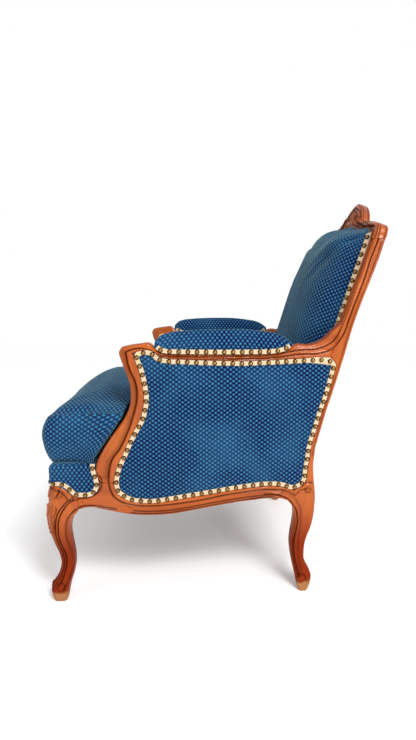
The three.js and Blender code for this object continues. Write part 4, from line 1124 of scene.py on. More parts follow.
def within(plan: Array, places: Array) -> Array:
    """Whether places lie inside a closed plan, by counting the edges to one side of them.

    Args:
        plan: its corners.
        places: the places.

    Returns:
        True for each place inside.
    """
    crossings = np.zeros(len(places), int)
    for (ax, ay), (bx, by) in zip(plan, np.roll(plan, -1, axis=0)):
        if ay != by:
            level = (places[:, 1] >= min(ay, by)) & (places[:, 1] < max(ay, by))
            crossings += level & (places[:, 0] < ax + (places[:, 1] - ay) * (bx - ax) / (by - ay))
    return crossings % 2 == 1


Relief = tuple[Array, Array]


@dataclass(frozen=True)
class Stroke:
    """One cut or raised line of carving.

    Attributes:
        line: the points it runs through, in the face's own metres.
        width: where its cut or its bead has sunk to a third, from its middle.
        lift: its height, negative for a cut.
        stain_and_shade: how dark it is drawn in it or beside it: painted shade, with the finish gathered there.
    """

    line: Array
    width: float = 0.0017
    lift: float = -0.0025
    stain_and_shade: float = 0.9

    def relief(self, places: Array) -> Relief:
        """A bell curve of the distance to the line; a raised line gets painted shade at its two sides.

        Args:
            places: where to read it, a row of two numbers each.

        Returns:
            The height, and the painted shade with gathered finish, at each place.
        """
        away = distance_to(self.line, places) / self.width
        core = bell(away, 0.0, 1.0)
        if self.lift < 0:
            return self.lift * (core - 0.16 * bell(away, 2.3, 1.0)), self.stain_and_shade * bell(away, 0.0, 1.25)
        beside = bell(away, 1.9, 0.6)
        return self.lift * (core - 0.3 * beside), self.stain_and_shade * beside


@dataclass(frozen=True)
class Field:
    """The ground between two lines of carving, hollow or full.

    Attributes:
        lines: the two lines, both run the same way.
        lift: its height in the middle, negative for a hollow.
    """

    lines: tuple[Array, Array]
    lift: float = -0.0018

    def relief(self, places: Array) -> Relief:
        """4t(1-t) of the share t of the way from one line to the other.

        Args:
            places: where to read it, a row of two numbers each.

        Returns:
            The height, and the painted shade with gathered finish, at each place.
        """
        plan = np.vstack([self.lines[0], self.lines[1][::-1]])
        inside = within(plan, places)
        height = np.zeros(len(places))
        one, two = (distance_to(line, places[inside], 0.06) for line in self.lines)
        share = one / np.maximum(one + two, 1e-6)
        height[inside] = self.lift * 4.0 * share * (1.0 - share)
        return height, np.zeros(len(places))


@dataclass(frozen=True)
class Boss:
    """A round button with a ring cut into it.

    Attributes:
        centre: its middle.
        radius: its size.
        lift: its height.
        stain_and_shade: how dark its ring and its foot are drawn: painted shade, with the finish gathered there.
        ring: how deep its ring is cut.
    """

    centre: tuple[float, float]
    radius: float
    lift: float = 0.0016
    stain_and_shade: float = 0.8
    ring: float = 1.0

    def relief(self, places: Array) -> Relief:
        """A flat step with a soft wall, a groove at 0.55 of its radius and a sunk foot, both darkened by painted shade.

        Args:
            places: where to read it, a row of two numbers each.

        Returns:
            The height, and the painted shade with gathered finish, at each place.
        """
        away = np.linalg.norm(places - np.array(self.centre), axis=1) / self.radius
        ring = self.ring * bell(away, 0.55, 0.12)
        foot = bell(away, 1.05, 0.14)
        height = self.lift * (smoothstep(away, 1.1, 0.85) - 0.8 * ring - 0.5 * foot)
        return height, self.stain_and_shade * np.maximum(ring, foot)


@dataclass(frozen=True)
class Husk:
    """A carved husk or leaf: a long drop with a vein along its middle.

    Attributes:
        centre: its middle.
        length: half its length.
        width: half its width at its widest.
        lean: the way its tip points, in radians from the first axis.
        lift: its height.
        stain_and_shade: how dark it is drawn round its edge and along its vein: painted shade, with the finish gathered
            there.
    """

    centre: tuple[float, float]
    length: float
    width: float
    lean: float = -1.4
    lift: float = 0.0032
    stain_and_shade: float = 0.9

    def relief(self, places: Array) -> Relief:
        """A round back over a width that narrows to the tip, cut along the vein and sunk round its edge.

        Args:
            places: where to read it, a row of two numbers each.

        Returns:
            The height, and the painted shade with gathered finish, at each place.
        """
        gap = places - np.array(self.centre)
        cos, sin = math.cos(self.lean), math.sin(self.lean)
        along = (gap[:, 0] * cos + gap[:, 1] * sin) / self.length
        across = np.abs(gap[:, 1] * cos - gap[:, 0] * sin)
        half = self.width * np.sqrt(np.clip(1.0 - along**2, 1e-4, 1.0)) * (1.0 - 0.35 * np.clip(along, -1.0, 1.0))
        share = across / half + 4.0 * np.clip(np.abs(along) - 1.0, 0.0, None)
        back = np.sqrt(np.clip(1.0 - share**2, 0.0, 1.0))
        vein = bell(across, 0.0, 0.16 * self.width) * (back > 0)
        edge = bell(share, 1.08, 0.16) * (np.abs(along) < 1.05)
        height = self.lift * (back - 0.4 * vein * back - 0.35 * edge)
        return height, self.stain_and_shade * np.maximum(edge, 0.6 * vein * back)


@dataclass(frozen=True)
class Shell:
    """A fan of lobes.

    Attributes:
        centre: where the lobes meet.
        radius: how far they reach.
        lobes: how many fill a half turn.
        lift: their height.
        turn: which way the fan opens, in radians from the first axis.
    """

    centre: tuple[float, float]
    radius: float
    lobes: int = 9
    lift: float = 0.006
    turn: float = math.pi / 2

    def relief(self, places: Array) -> Relief:
        """Each lobe is |cos| of the angle times the lobes, cut deep at its sides and round at its tip.

        Args:
            places: where to read it, a row of two numbers each.

        Returns:
            The height, and the painted shade with gathered finish, at each place.
        """
        gap = places - np.array(self.centre)
        angle = np.arctan2(gap[:, 1], gap[:, 0]) - self.turn
        angle = np.arctan2(np.sin(angle), np.cos(angle))
        lobe = np.abs(np.cos(angle * self.lobes / 2.0))
        away = np.linalg.norm(gap, axis=1) / (self.radius * (0.86 + 0.14 * lobe))
        fan = smoothstep(np.abs(angle), 1.9, 1.6)
        rise = smoothstep(away, 1.05, 0.8) * (0.45 + 0.55 * np.clip(away, 0.0, 1.0)) * fan
        height = self.lift * rise * (0.35 + 0.65 * lobe**0.7)
        cut = (1.0 - lobe) ** 2 * smoothstep(away, 1.1, 0.9) * smoothstep(away, 0.12, 0.3) * fan
        rim = bell(away, 1.08, 0.07) * fan
        return height - self.lift * 0.35 * rim, 0.95 * np.maximum(cut, rim)


Ornament = Union[Stroke, Field, Boss, Husk, Shell]


@dataclass
class Carving:
    """All the ornaments of one face.

    Attributes:
        ornaments: what is cut into it or stands on it.
        mirrored: whether both halves of the face, left and right of 0, are cut alike.
    """

    ornaments: Sequence[Ornament] = ()
    mirrored: bool = False

    def relief(self, first: Array, second: Array) -> Relief:
        """The heights add up, and the darkest painted shade shows.

        Args:
            first: one coordinate of each place on the face.
            second: the other.

        Returns:
            The height and the painted shade, in the shape of the coordinates.
        """
        places = np.stack([np.ravel(np.abs(first) if self.mirrored else first), np.ravel(second)], axis=1)
        height, stain_and_shade = np.zeros(len(places)), np.zeros(len(places))
        for ornament in self.ornaments:
            lift, dark = ornament.relief(places)
            height += lift
            stain_and_shade = np.maximum(stain_and_shade, dark)
        return height.reshape(first.shape), stain_and_shade.reshape(first.shape)


def scroll(centre: Sequence[float], radius: float, turns: float, start: float, hand: int = 1) -> Array:
    """A spiral that winds in to its centre.

    Args:
        centre: its eye.
        radius: where it starts.
        turns: how many times it goes round.
        start: the angle it starts at, in radians.
        hand: 1 for anticlockwise, -1 for clockwise.

    Returns:
        Its points, from outside to the eye.
    """
    share = np.linspace(0.0, 1.0, max(int(28 * turns), 8))
    angle = start + hand * share * turns * 2.0 * math.pi
    reach = radius * (1.0 - 0.82 * share)
    return np.array(centre) + np.stack([np.cos(angle) * reach, np.sin(angle) * reach], axis=1)


# Carved lines on the chair's side, each a depth behind the nose of the front leg and a height.
KNEE_FRONT = millimetres(
    (59, 259), (44, 249), (35, 238), (28, 229), (23, 219), (20, 208), (17, 193), (16, 178), (17, 162), (21, 141),
    (26, 122), (29, 101), (28, 82), (24, 64), (16, 48), (8, 35), (5, 27),
)
KNEE_INNER = millimetres(
    (60, 254), (46, 243), (39, 233), (33, 223), (28, 211), (25, 200), (23, 180), (23, 167), (27, 141), (34, 114),
    (36, 98), (33, 74), (28, 55), (22, 42),
)
KNEE_BACK = millimetres(
    (160, 227), (137, 231), (123, 235), (100, 239), (86, 239), (71, 234), (57, 223), (49, 212), (46, 205),
    (42, 189), (41, 176), (41, 158), (45, 140), (49, 118), (52, 99), (52, 81), (46, 60), (40, 44), (32, 31),
)
BORDER_EDGE = millimetres(
    (119, 321), (126, 311), (129, 298), (128, 285), (122, 274), (112, 266), (98, 260), (77, 258), (65, 255),
    (60, 254),
)
KNEE_COLLAR = millimetres((10, 290), (23, 287), (37, 280), (48, 270), (55, 259))
REAR_LEG_MAIN = millimetres(
    (519, 250), (547, 248), (572, 240), (585, 230), (594, 218), (601, 204), (604, 189), (605, 176), (603, 162),
    (601, 149), (598, 135), (596, 111), (597, 91), (601, 71), (607, 51), (613, 37),
)
REAR_LEG_FRONT = millimetres(
    (489, 240), (534, 243), (559, 238), (575, 229), (588, 214), (594, 200), (597, 190), (598, 173), (596, 157),
    (594, 144), (592, 111), (593, 91), (597, 69), (603, 49), (609, 34),
)
REAR_LEG_BACK = millimetres(
    (519, 262), (546, 260), (566, 256), (579, 252), (595, 236), (605, 221), (611, 208), (612, 189), (613, 173),
    (610, 151), (607, 124), (607, 96), (610, 68), (616, 48),
)
UPPER_RAIL = millimetres((569, 259), (584, 253), (595, 244))
CUFF_LOW = millimetres((595, 244), (602, 251), (610, 258), (620, 261))
CUFF_HIGH = millimetres((593, 259), (601, 267), (613, 274), (626, 278), (639, 276))
PANEL_EDGE = millimetres(
    (194, 606), (200, 572), (214, 536), (216, 496), (209, 466), (190, 412), (172, 376), (154, 351), (147, 325),
    (145, 302), (148, 277), (156, 259), (175, 244), (194, 237), (241, 231), (277, 232), (362, 241), (435, 254),
    (484, 259), (521, 262), (569, 259),
)
SUPPORT_EDGE = millimetres(
    (194, 613), (192, 597), (197, 576), (205, 555), (209, 532), (208, 501), (203, 473), (189, 442), (173, 410),
    (156, 382), (137, 355), (126, 335), (119, 321),
)
STILE_INNER = millimetres(
    (744, 816), (734, 782), (723, 748), (712, 713), (700, 679), (689, 651), (675, 629), (656, 617), (633, 610),
    (604, 609), (585, 607), (560, 602), (535, 598), (480, 596), (400, 595), (320, 596), (280, 598), (262, 603),
    (250, 611), (232, 616), (208, 614), (194, 608),
)
STILE_MIDDLE = millimetres(
    (772, 868), (763, 842), (754, 816), (745, 782), (734, 748), (722, 713), (711, 679), (701, 648), (687, 625),
    (669, 608), (645, 600), (609, 599), (590, 598), (560, 594), (530, 591), (480, 589.5), (400, 589),
    (320, 589.5), (270, 591), (248, 599), (230, 605), (210, 603),
)


@dataclass
class SideCarving:
    """The carving that runs over the joints of one side: front leg, rail, support, arm and rear post.

    Attributes:
        proportions: the chair's sizes.
    """

    proportions: Proportions

    def rail_line(self, above: float, first: float, last: float) -> Array:
        """A line at one height above the rail's lower edge.

        Args:
            above: how far above it.
            first: where it starts, as a depth share.
            last: where it ends.

        Returns:
            Its points.
        """
        depth = np.linspace(first, last, 40)
        low = np.interp(depth, SIDE_RAIL[:, 0], SIDE_RAIL[:, 1])
        return np.stack([self.proportions.run(depth), self.proportions.rise(low) + above], axis=1)

    def post_line(self, behind: float, first: float, last: float, back: bool = False) -> Array:
        """A line at one distance from an edge of the rear post.

        Args:
            behind: how far behind its front edge, or in front of its back edge.
            first: its lower end, as a height share.
            last: its upper end.
            back: whether to follow the back edge.

        Returns:
            Its points.
        """
        height = np.linspace(first, last, 60)
        edge = self.proportions.run(np.interp(height, POST[:, 0], POST[:, 2 if back else 1]))
        return np.stack([edge + (-behind if back else behind), self.proportions.rise(height)], axis=1)

    def carving(self) -> Carving:
        """All the side's ornaments, from the knee to the shoulder.

        Returns:
            The ornaments, on depth and height in metres.
        """

        def smooth(line: Array, count: int = 70) -> Array:
            """A carved line through its points."""
            return spline(line, count)

        rail_first, rail_second = self.rail_line(0.0045, 0.30, 0.83), self.rail_line(0.0105, 0.31, 0.86)
        panel = smooth(PANEL_EDGE, 120)
        low_panel = panel[panel[:, 1] < 0.262]
        support_panel = panel[panel[:, 1] > 0.30][::-1]
        support = smooth(SUPPORT_EDGE)[::-1]
        knee, inner, back = smooth(KNEE_FRONT), smooth(KNEE_INNER), smooth(KNEE_BACK)
        husks = millimetres((12.5, 208, 8, 4.2), (12.5, 194, 6.5, 3.4), (12, 182, 5, 2.8), (11.5, 172, 4, 2.2))
        beside = support_panel - [0.0045, 0.0]
        return Carving([
            Stroke(knee), Stroke(inner, width=0.0014), Stroke(back),
            Field((inner, back), lift=0.0020),
            Stroke(smooth(BORDER_EDGE), width=0.0014),
            Stroke(smooth(KNEE_COLLAR), width=0.0034, lift=0.0026),
            Husk((0.017, 0.272), 0.0145, 0.0085, lean=-2.0, lift=0.0045),
            Husk((0.030, 0.268), 0.0105, 0.0050, lean=-2.2, lift=0.0030),
            Husk((0.0135, 0.229), 0.0145, 0.0068, lean=-1.7, lift=0.0042),
            *[Husk((y, z), length, wide, lift=0.003) for y, z, length, wide in husks],
            Boss((0.026, 0.036), 0.0088, lift=0.0024, ring=0.0), Boss((0.615, 0.030), 0.0106, lift=0.0028, ring=0.0),
            Boss((0.629, 0.258), 0.0075, lift=0.0026),
            Stroke(rail_first, width=0.0015), Stroke(rail_second, width=0.0014, lift=-0.0019),
            Stroke(panel, width=0.0019, lift=-0.0032),
            Field((rail_second, low_panel), lift=-0.0030),
            Stroke(beside, width=0.0048, lift=-0.0016, stain_and_shade=0.42),
            Field((support - [0.012, 0.0], support_panel), lift=0.0030),
            Field((smooth(CUFF_LOW), smooth(CUFF_HIGH)), lift=0.0028),
            Stroke(smooth(REAR_LEG_MAIN)), Stroke(smooth(REAR_LEG_FRONT), width=0.0012),
            Stroke(smooth(REAR_LEG_BACK), width=0.0026, lift=-0.0015, stain_and_shade=0.35),
            Stroke(smooth(UPPER_RAIL), width=0.0012),
            Stroke(smooth(CUFF_LOW), width=0.0012), Stroke(smooth(CUFF_HIGH), width=0.0013),
            Stroke(smooth(STILE_INNER, 120), width=0.0013), Stroke(smooth(STILE_MIDDLE, 120), width=0.0016),
            Stroke(self.post_line(0.0045, 1.3, 1.88), width=0.0013),
            Stroke(self.post_line(0.007, 1.3, 2.64, back=True), width=0.0013, lift=-0.0012, stain_and_shade=0.6),
            Field((self.post_line(0.016, 1.25, 2.64), self.post_line(0.009, 1.25, 2.64, back=True)), lift=-0.0012),
        ])


@dataclass
class Bar:
    """A moulded bar between two edges that are matched row by row.

    Attributes:
        thickness: how deep it is.
        round_outer: how round its outer corners are.
        round_inner: how round its inner front corner is.
        rebate: how far below its face the lip for the covering lies.
        columns: points across its face.
        edge_columns: points across its outer edge.
        edge_cut: depth of the two grooves along its outer edge.
        groove_in: how far they lie from its two faces.
        groove_wide: how wide they are.
    """

    thickness: float
    round_outer: float = 0.005
    round_inner: float = 0.0015
    rebate: float = 0.009
    columns: int = 48
    edge_columns: int = 22
    edge_cut: float = 0.0013
    groove_in: float = 0.0065
    groove_wide: float = 0.0014

    def section(self) -> tuple[Array, Array]:
        """The section's points, in order round it.

        Returns:
            Rows of share across, distance added across, share of the lip and depth, and for each whether it
            lies on the face, on the outer edge or on neither, from 0 to 1.
        """
        big, small, deep = self.round_outer, self.round_inner, self.thickness
        wall = np.linspace(-deep + big, -big, self.edge_columns)
        rows = [np.stack([0 * wall, 0 * wall, 0 * wall, wall, 0 * wall, 1 + 0 * wall], axis=1)]
        turn = np.linspace(0.0, math.pi / 2, 8)[1:-1]
        rows.append(np.stack([
            0 * turn, big - big * np.cos(turn), 0 * turn,
            -big + big * np.sin(turn), np.sin(turn) ** 2, np.cos(turn) ** 2,
        ], axis=1))
        t = np.linspace(0.0, 1.0, self.columns)
        rows.append(np.stack([t, big + (-small - big) * t, 0 * t, 0 * t, 1 + 0 * t, 0 * t], axis=1))
        turn = np.linspace(0.0, math.pi / 2, 4)[1:]
        rows.append(np.stack([
            1 + 0 * turn, -small + small * np.sin(turn), 0 * turn, -small + small * np.cos(turn),
            np.cos(turn) ** 2, 0 * turn,
        ], axis=1))
        rows.append(np.array([
            [1, 0, 0, -self.rebate, 0, 0], [1, 0, 1, -self.rebate, 0, 0],
            [1, 0, 1, (-self.rebate - deep) / 2, 0, 0], [1, 0, 1, -deep, 0, 0],
            [0.66, 0, 0.66, -deep, 0, 0], [0.33, 0, 0.33, -deep, 0, 0], [0, big, 0, -deep, 0, 0],
            [0, big * 0.29, 0, -deep + big * 0.29, 0, 0],
        ]))
        table = np.vstack(rows)
        return table[:, :4], table[:, 4:]

    def skin(
        self, outer: Array, inner: Array, place: Place, carving: Carving, lip: Union[float, Array] = 0.0
    ) -> Skin:
        """Carries the section along the two edges and cuts the carving into its face.

        Args:
            outer: the outer edge, a row of two numbers for each ring.
            inner: the inner edge, matched.
            place: turns the plan's two coordinates and a depth into a point.
            carving: the face's ornaments.
            lip: how far the wood runs on under the covering, for all rings or for each.

        Returns:
            The bar's skin.
        """
        section, sides = self.section()
        share, extra, on_lip, depth = section.T
        on_face, on_edge = sides.T
        gap = inner - outer
        wide = np.linalg.norm(gap, axis=1, keepdims=True)
        unit = gap / wide
        lip = np.reshape(lip, (-1, 1)) * np.ones((len(outer), 1))
        across = share * wide + extra + on_lip * lip
        plan = outer[:, None, :] + unit[:, None, :] * across[..., None]
        height, stain_and_shade = carving.relief(plan[..., 0], plan[..., 1])
        places = (-self.groove_in, -self.thickness + self.groove_in)
        grooves = sum(bell(depth, middle, self.groove_wide) for middle in places)
        edge = -self.edge_cut * grooves * on_edge
        plan = plan - unit[:, None, :] * np.broadcast_to(edge, across.shape)[..., None]
        points = place(plan[..., 0], plan[..., 1], depth + height * on_face)
        # The grooves along the outer edge get painted shade.
        return Skin(points, stain_and_shade=np.maximum(stain_and_shade * on_face, 0.75 * grooves * on_edge))


@dataclass
class FrontLeg:
    """A cabriole front leg with its block, carved alike on its two outer faces.

    Attributes:
        proportions: the chair's sizes.
        depth: its block, front to back.
        width: its block, side to side.
        flare: how far the foot stands out.
        nose: how far the block stands out of the seat's side.
        rows: rings from the foot to the top.
        face: points across each outer face.
    """

    proportions: Proportions
    depth: float = 0.0707
    width: float = 0.066
    flare: float = 0.022
    nose: float = 0.002
    rows: int = 230
    face: int = 58

    def corner(self, middle: tuple[float, float], radius: tuple[Array, Array], first: float, count: int) -> Array:
        """A quarter turn of the section, as shares of depth and width.

        Args:
            middle: which corner of the section, each 0 or 1.
            radius: its size along depth and along width, as shares for each ring.
            first: the angle it starts at, in quarter turns from the rear.
            count: how many points.

        Returns:
            Depth share, width share, and the normal's two parts, by rings and points.
        """
        angle = (first + np.linspace(0.0, 1.0, count)) * math.pi / 2
        cos, sin = np.cos(angle), np.sin(angle)
        rows = []
        for at, size, wave in ((middle[0], radius[0], cos), (middle[1], radius[1], sin)):
            centre = size if at == 0 else 1.0 - size
            rows.append(centre[:, None] + size[:, None] * wave)
        ones = np.ones((len(radius[0]), 1))
        return np.stack([*rows, ones * cos, ones * sin], axis=-1)

    def build(self, carving: Carving) -> Skin:
        """Rings of rounded rectangles between smooth edges; the carving pushes its two outer faces.

        Args:
            carving: the side's ornaments.

        Returns:
            The leg's skin.
        """
        sizes = self.proportions
        share = np.linspace(0.0, RAIL_TOP, self.rows)
        table = spline_at(FRONT_LEG, share)
        front, back, inner_share = table.T
        low = np.clip(1.0 - share, 0.0, 1.0)
        out = self.nose - front * self.width + self.flare * low**2
        inner = -inner_share * self.width
        square = smoothstep(share, 0.93, 0.985)
        round_below, round_above, round_nose = 0.22, 0.006, 0.32
        small = round_below + (round_above - round_below) * square
        nose = round_nose + 0 * share
        corners = [
            self.corner((0, 0), (small, small), 2, 6), self.corner((1, 0), (small, small), 3, 6),
            self.corner((1, 1), (small, small), 0, 8), self.corner((0, 1), (nose, nose), 1, 26),
        ]
        outer_face = between(corners[2][:, -1], corners[3][:, 0], self.face)
        front_face = between(corners[3][:, -1], corners[0][:, 0], self.face)
        ring = np.concatenate([*corners[:3], outer_face, corners[3], front_face], axis=1)
        depth_share, width_share, rearward, outward = np.moveaxis(ring, -1, 0)
        y = self.depth * (front[:, None] + (back - front)[:, None] * depth_share)
        aside = inner[:, None] + (out - inner)[:, None] * width_share
        z = sizes.rise(share)[:, None] + 0 * y
        mirrored = (self.nose + self.flare * low[:, None] ** 2 - aside) * self.depth / self.width
        side_weight = np.clip(outward, 0.0, 1.0) ** 2
        front_weight = np.clip(-rearward, 0.0, 1.0) ** 2
        side_height, side_stain_and_shade = carving.relief(y, z)
        front_height, front_stain_and_shade = carving.relief(mirrored, z)
        weight = np.maximum(side_weight + front_weight, 1e-6)
        fade = np.clip(side_weight + front_weight, 0.0, 1.0)
        height = (side_height * side_weight + front_height * front_weight) / weight * fade
        stain_and_shade = (side_stain_and_shade * side_weight + front_stain_and_shade * front_weight) / weight * fade
        return Skin(sizes.side_place(y + height * rearward, z, aside + height * outward), stain_and_shade=stain_and_shade)


def between(one: Array, two: Array, count: int) -> Array:
    """Points on the straight lines between matched rows, without their ends."""
    share = np.linspace(0.0, 1.0, count + 2)[1:-1][None, :, None]
    return one[:, None, :] * (1.0 - share) + two[:, None, :] * share


@dataclass
class RearPost:
    """A rear leg and back stile in one piece.

    Attributes:
        proportions: the chair's sizes.
        flare: how far the foot stands out.
        wide: its width at the seat and above.
        foot_wide: its width at the foot.
        face_wide: the part of its width in front of the back's coverings.
        step: how far those are let in.
        soft: how round its outer corners are.
        rebate: how far its side is let in for the side panel.
        cove: where the hollow on its front starts, from its outer corner.
        cove_wide: how wide the hollow is.
        cove_deep: how deep it is.
        beads: where the grooves beside it lie, and how wide they are.
        rows: rings from the foot to the shoulder.
        let_in: points across its side in front of the panel's rear edge.
        face: points across the rest of its side.
    """

    proportions: Proportions
    flare: float = 0.030
    wide: float = 0.046
    foot_wide: float = 0.034
    face_wide: float = 0.036
    step: float = 0.008
    soft: float = 0.006
    rebate: float = 0.009
    cove: float = 0.0095
    cove_wide: float = 0.019
    cove_deep: float = 0.0066
    beads: tuple[tuple[float, float], ...] = ((0.0085, 0.0013), (0.0295, 0.0012))
    rows: int = 400
    let_in: int = 30
    face: int = 44

    def front_profile(self, behind: Array, above: Array) -> Relief:
        """The moulding on the front face: bead, groove, deep cove and a thin bead beside the pad.

        Args:
            behind: distance in from the outer corner.
            above: height share.

        Returns:
            Its height, and its painted shade in the grooves and across the deep cove.
        """
        rise_in = smoothstep(above, 1.9, 2.05)
        cove = np.clip((behind - self.cove) / self.cove_wide, 0.0, 1.0)
        hollow = -self.cove_deep * np.sin(math.pi * cove) * rise_in
        grooves = sum(bell(behind, middle, wide) for middle, wide in self.beads)
        return hollow - 0.0018 * grooves, 0.85 * grooves + 0.5 * np.sin(math.pi * cove) * rise_in

    def build(self, carving: Carving, opening: Array) -> Skin:
        """Rings of ten-sided outline with rounded outer corners, carved on side, front and back.

        Two points of each ring stand at the panel's rear edge, one at the side's level and one let in.

        Args:
            carving: the side's ornaments.
            opening: the side panel's outline.

        Returns:
            The post's skin.
        """
        sizes = self.proportions
        share = np.linspace(0.0, POST[-1, 0], self.rows)
        edges = spline_at(POST, share)
        front, back = (sizes.run(edge)[:, None] for edge in edges.T)
        low = np.clip(1.0 - share, 0.0, 1.0)[:, None]
        out = self.flare * low**2
        inner = out - (self.wide + (self.foot_wide - self.wide) * low)
        step = smoothstep(share, RAIL_TOP, BACK_FOOT)[:, None] * self.step
        soft = self.soft
        lip = (out - self.face_wide) * (1 - low) + (inner + soft) * low
        z = sizes.rise(share)[:, None]
        turn = np.linspace(0.0, math.pi / 2, 8)[None, 1:-1]
        t = np.linspace(0.0, 1.0, 30)[None]
        rear = opening[opening[:, 0] > sizes.post_front(opening[:, 1]) - 0.004]
        rear = rear[np.argsort(rear[:, 1])]
        wall = np.interp(z[:, 0], rear[:, 1], rear[:, 0])[:, None]
        wall = np.clip((wall - front - soft) / (back - front - 2 * soft), 0.04, 0.96)
        before, behind = (np.linspace(0.0, 1.0, count) for count in (self.let_in, self.face))
        along = np.hstack([wall * before, wall + (1 - wall) * behind])
        open_rows = (z > rear[0, 1]) & (z < rear[-1, 1])
        groups = [
            (front + 0 * t, lip + (out - soft - lip) * t, 0 * t - 1, 0 * t),
            (front + soft * (1 - np.cos(turn)), out - soft + soft * np.sin(turn), -np.cos(turn), np.sin(turn)),
            (front + soft + (back - front - 2 * soft) * along, out + 0 * along, 0 * along, 0 * along + 1),
            (back - soft * (1 - np.sin(turn)), out - soft + soft * np.cos(turn), np.sin(turn), np.cos(turn)),
            (back + 0 * t, out - soft + (lip - out + soft) * t, 0 * t + 1, 0 * t),
            (back - step, lip, 0 * lip, 0 * lip),
            (back - np.maximum(step, soft), inner, 0 * lip, 0 * lip),
            ((front + back) / 2, inner, 0 * lip, 0 * lip),
            (front + np.maximum(step, soft), inner, 0 * lip, 0 * lip),
            (front + step, lip, 0 * lip, 0 * lip),
        ]
        y, aside, rearward, outward = (
            np.concatenate([np.broadcast_to(part, (self.rows, np.shape(part)[1])) for part in parts], axis=1)
            for parts in zip(*groups)
        )
        starts = np.cumsum([0] + [np.shape(part[0])[1] for part in groups])
        ahead = (np.arange(y.shape[1]) < starts[2] + self.let_in)[None] & open_rows
        z = z + 0 * y
        side_weight = np.clip(outward, 0.0, 1.0) ** 2
        front_weight = np.clip(-rearward, 0.0, 1.0) ** 2
        back_weight = np.clip(rearward, 0.0, 1.0) ** 2
        height, stain_and_shade = carving.relief(y, z)
        inwards = out - aside
        front_height, front_stain_and_shade = self.front_profile(inwards, np.broadcast_to(share[:, None], y.shape))
        back_cut = bell(inwards, *self.beads[0])
        height = height * side_weight + front_height * front_weight - 0.0016 * back_cut * back_weight
        stain_and_shade = stain_and_shade * side_weight + front_stain_and_shade * front_weight + 0.8 * back_cut * back_weight
        height = height * smoothstep(z, 0.0, 0.004) * ~ahead
        aside = np.where(ahead, np.minimum(aside, -self.rebate), aside)
        return Skin(sizes.side_place(y + height * rearward, z, aside + height * outward), stain_and_shade=np.clip(stain_and_shade, 0, 1))


@dataclass
class SideFrame:
    """One side of the frame, built on the left and mirrored for the right.

    Attributes:
        proportions: the chair's sizes.
        thickness: of rail, support and arm.
        lip: how far the wood runs on behind the side panel.
    """

    proportions: Proportions
    thickness: float = 0.038
    lip: float = 0.012

    def edges(self, table: Array, count: int) -> tuple[Array, Array]:
        """Smooth matched edges from rows of two places in shares.

        Args:
            table: depth and height of one edge, then of the other.
            count: how many rows come back.

        Returns:
            The two edges.
        """
        sizes = self.proportions
        rows = np.stack(
            [sizes.run(table[:, 0]), sizes.rise(table[:, 1]), sizes.run(table[:, 2]), sizes.rise(table[:, 3])], axis=1
        )
        smooth = spline(rows, count)
        return smooth[:, :2], smooth[:, 2:]

    def rail(self, carving: Carving) -> Skin:
        """The side rail, which rises to carry the arm support.

        Args:
            carving: the side's ornaments.

        Returns:
            The rail's skin.
        """
        sizes = self.proportions
        depth = np.linspace(SIDE_RAIL[0, 0], SIDE_RAIL[-1, 0], 270)
        low = sizes.rise(spline_at(SIDE_RAIL, depth)[:, 0])
        high = sizes.rise(np.interp(depth, SIDE_RAIL[:, 0], SIDE_RAIL[:, 2]))
        y = sizes.run(depth)
        bar = Bar(self.thickness, columns=56)
        lip = float(sizes.rise(RAIL_TOP)) - high
        return bar.skin(np.stack([y, low], axis=1), np.stack([y, high], axis=1), sizes.side_place, carving, lip)

    def support(self, carving: Carving) -> Skin:
        """The arm support, from its mitre at the arm down to the rail.

        Args:
            carving: the side's ornaments.

        Returns:
            The support's skin.
        """
        outer, inner = self.edges(SUPPORT, 190)
        bar = Bar(self.thickness, round_outer=0.0085, columns=52)
        return bar.skin(outer, inner, self.proportions.side_place, carving, self.lip)

    def arm(self, carving: Carving) -> Skin:
        """The arm, from the mitre to its root on the rear post.

        Args:
            carving: the side's ornaments.

        Returns:
            The arm's skin.
        """
        sizes = self.proportions
        rows = ARM.copy()
        for column, height in ((0, ARM[-1, 1]), (2, ARM[-1, 3])):
            rows[-1, column] = np.interp(height, POST[:, 0], POST[:, 1]) + 0.2 * sizes.clearance
        outer, inner = self.edges(rows, 330)
        bar = Bar(self.thickness, round_outer=0.0075, round_inner=0.004, columns=34)
        return bar.skin(outer, inner, sizes.side_place, carving, self.lip)


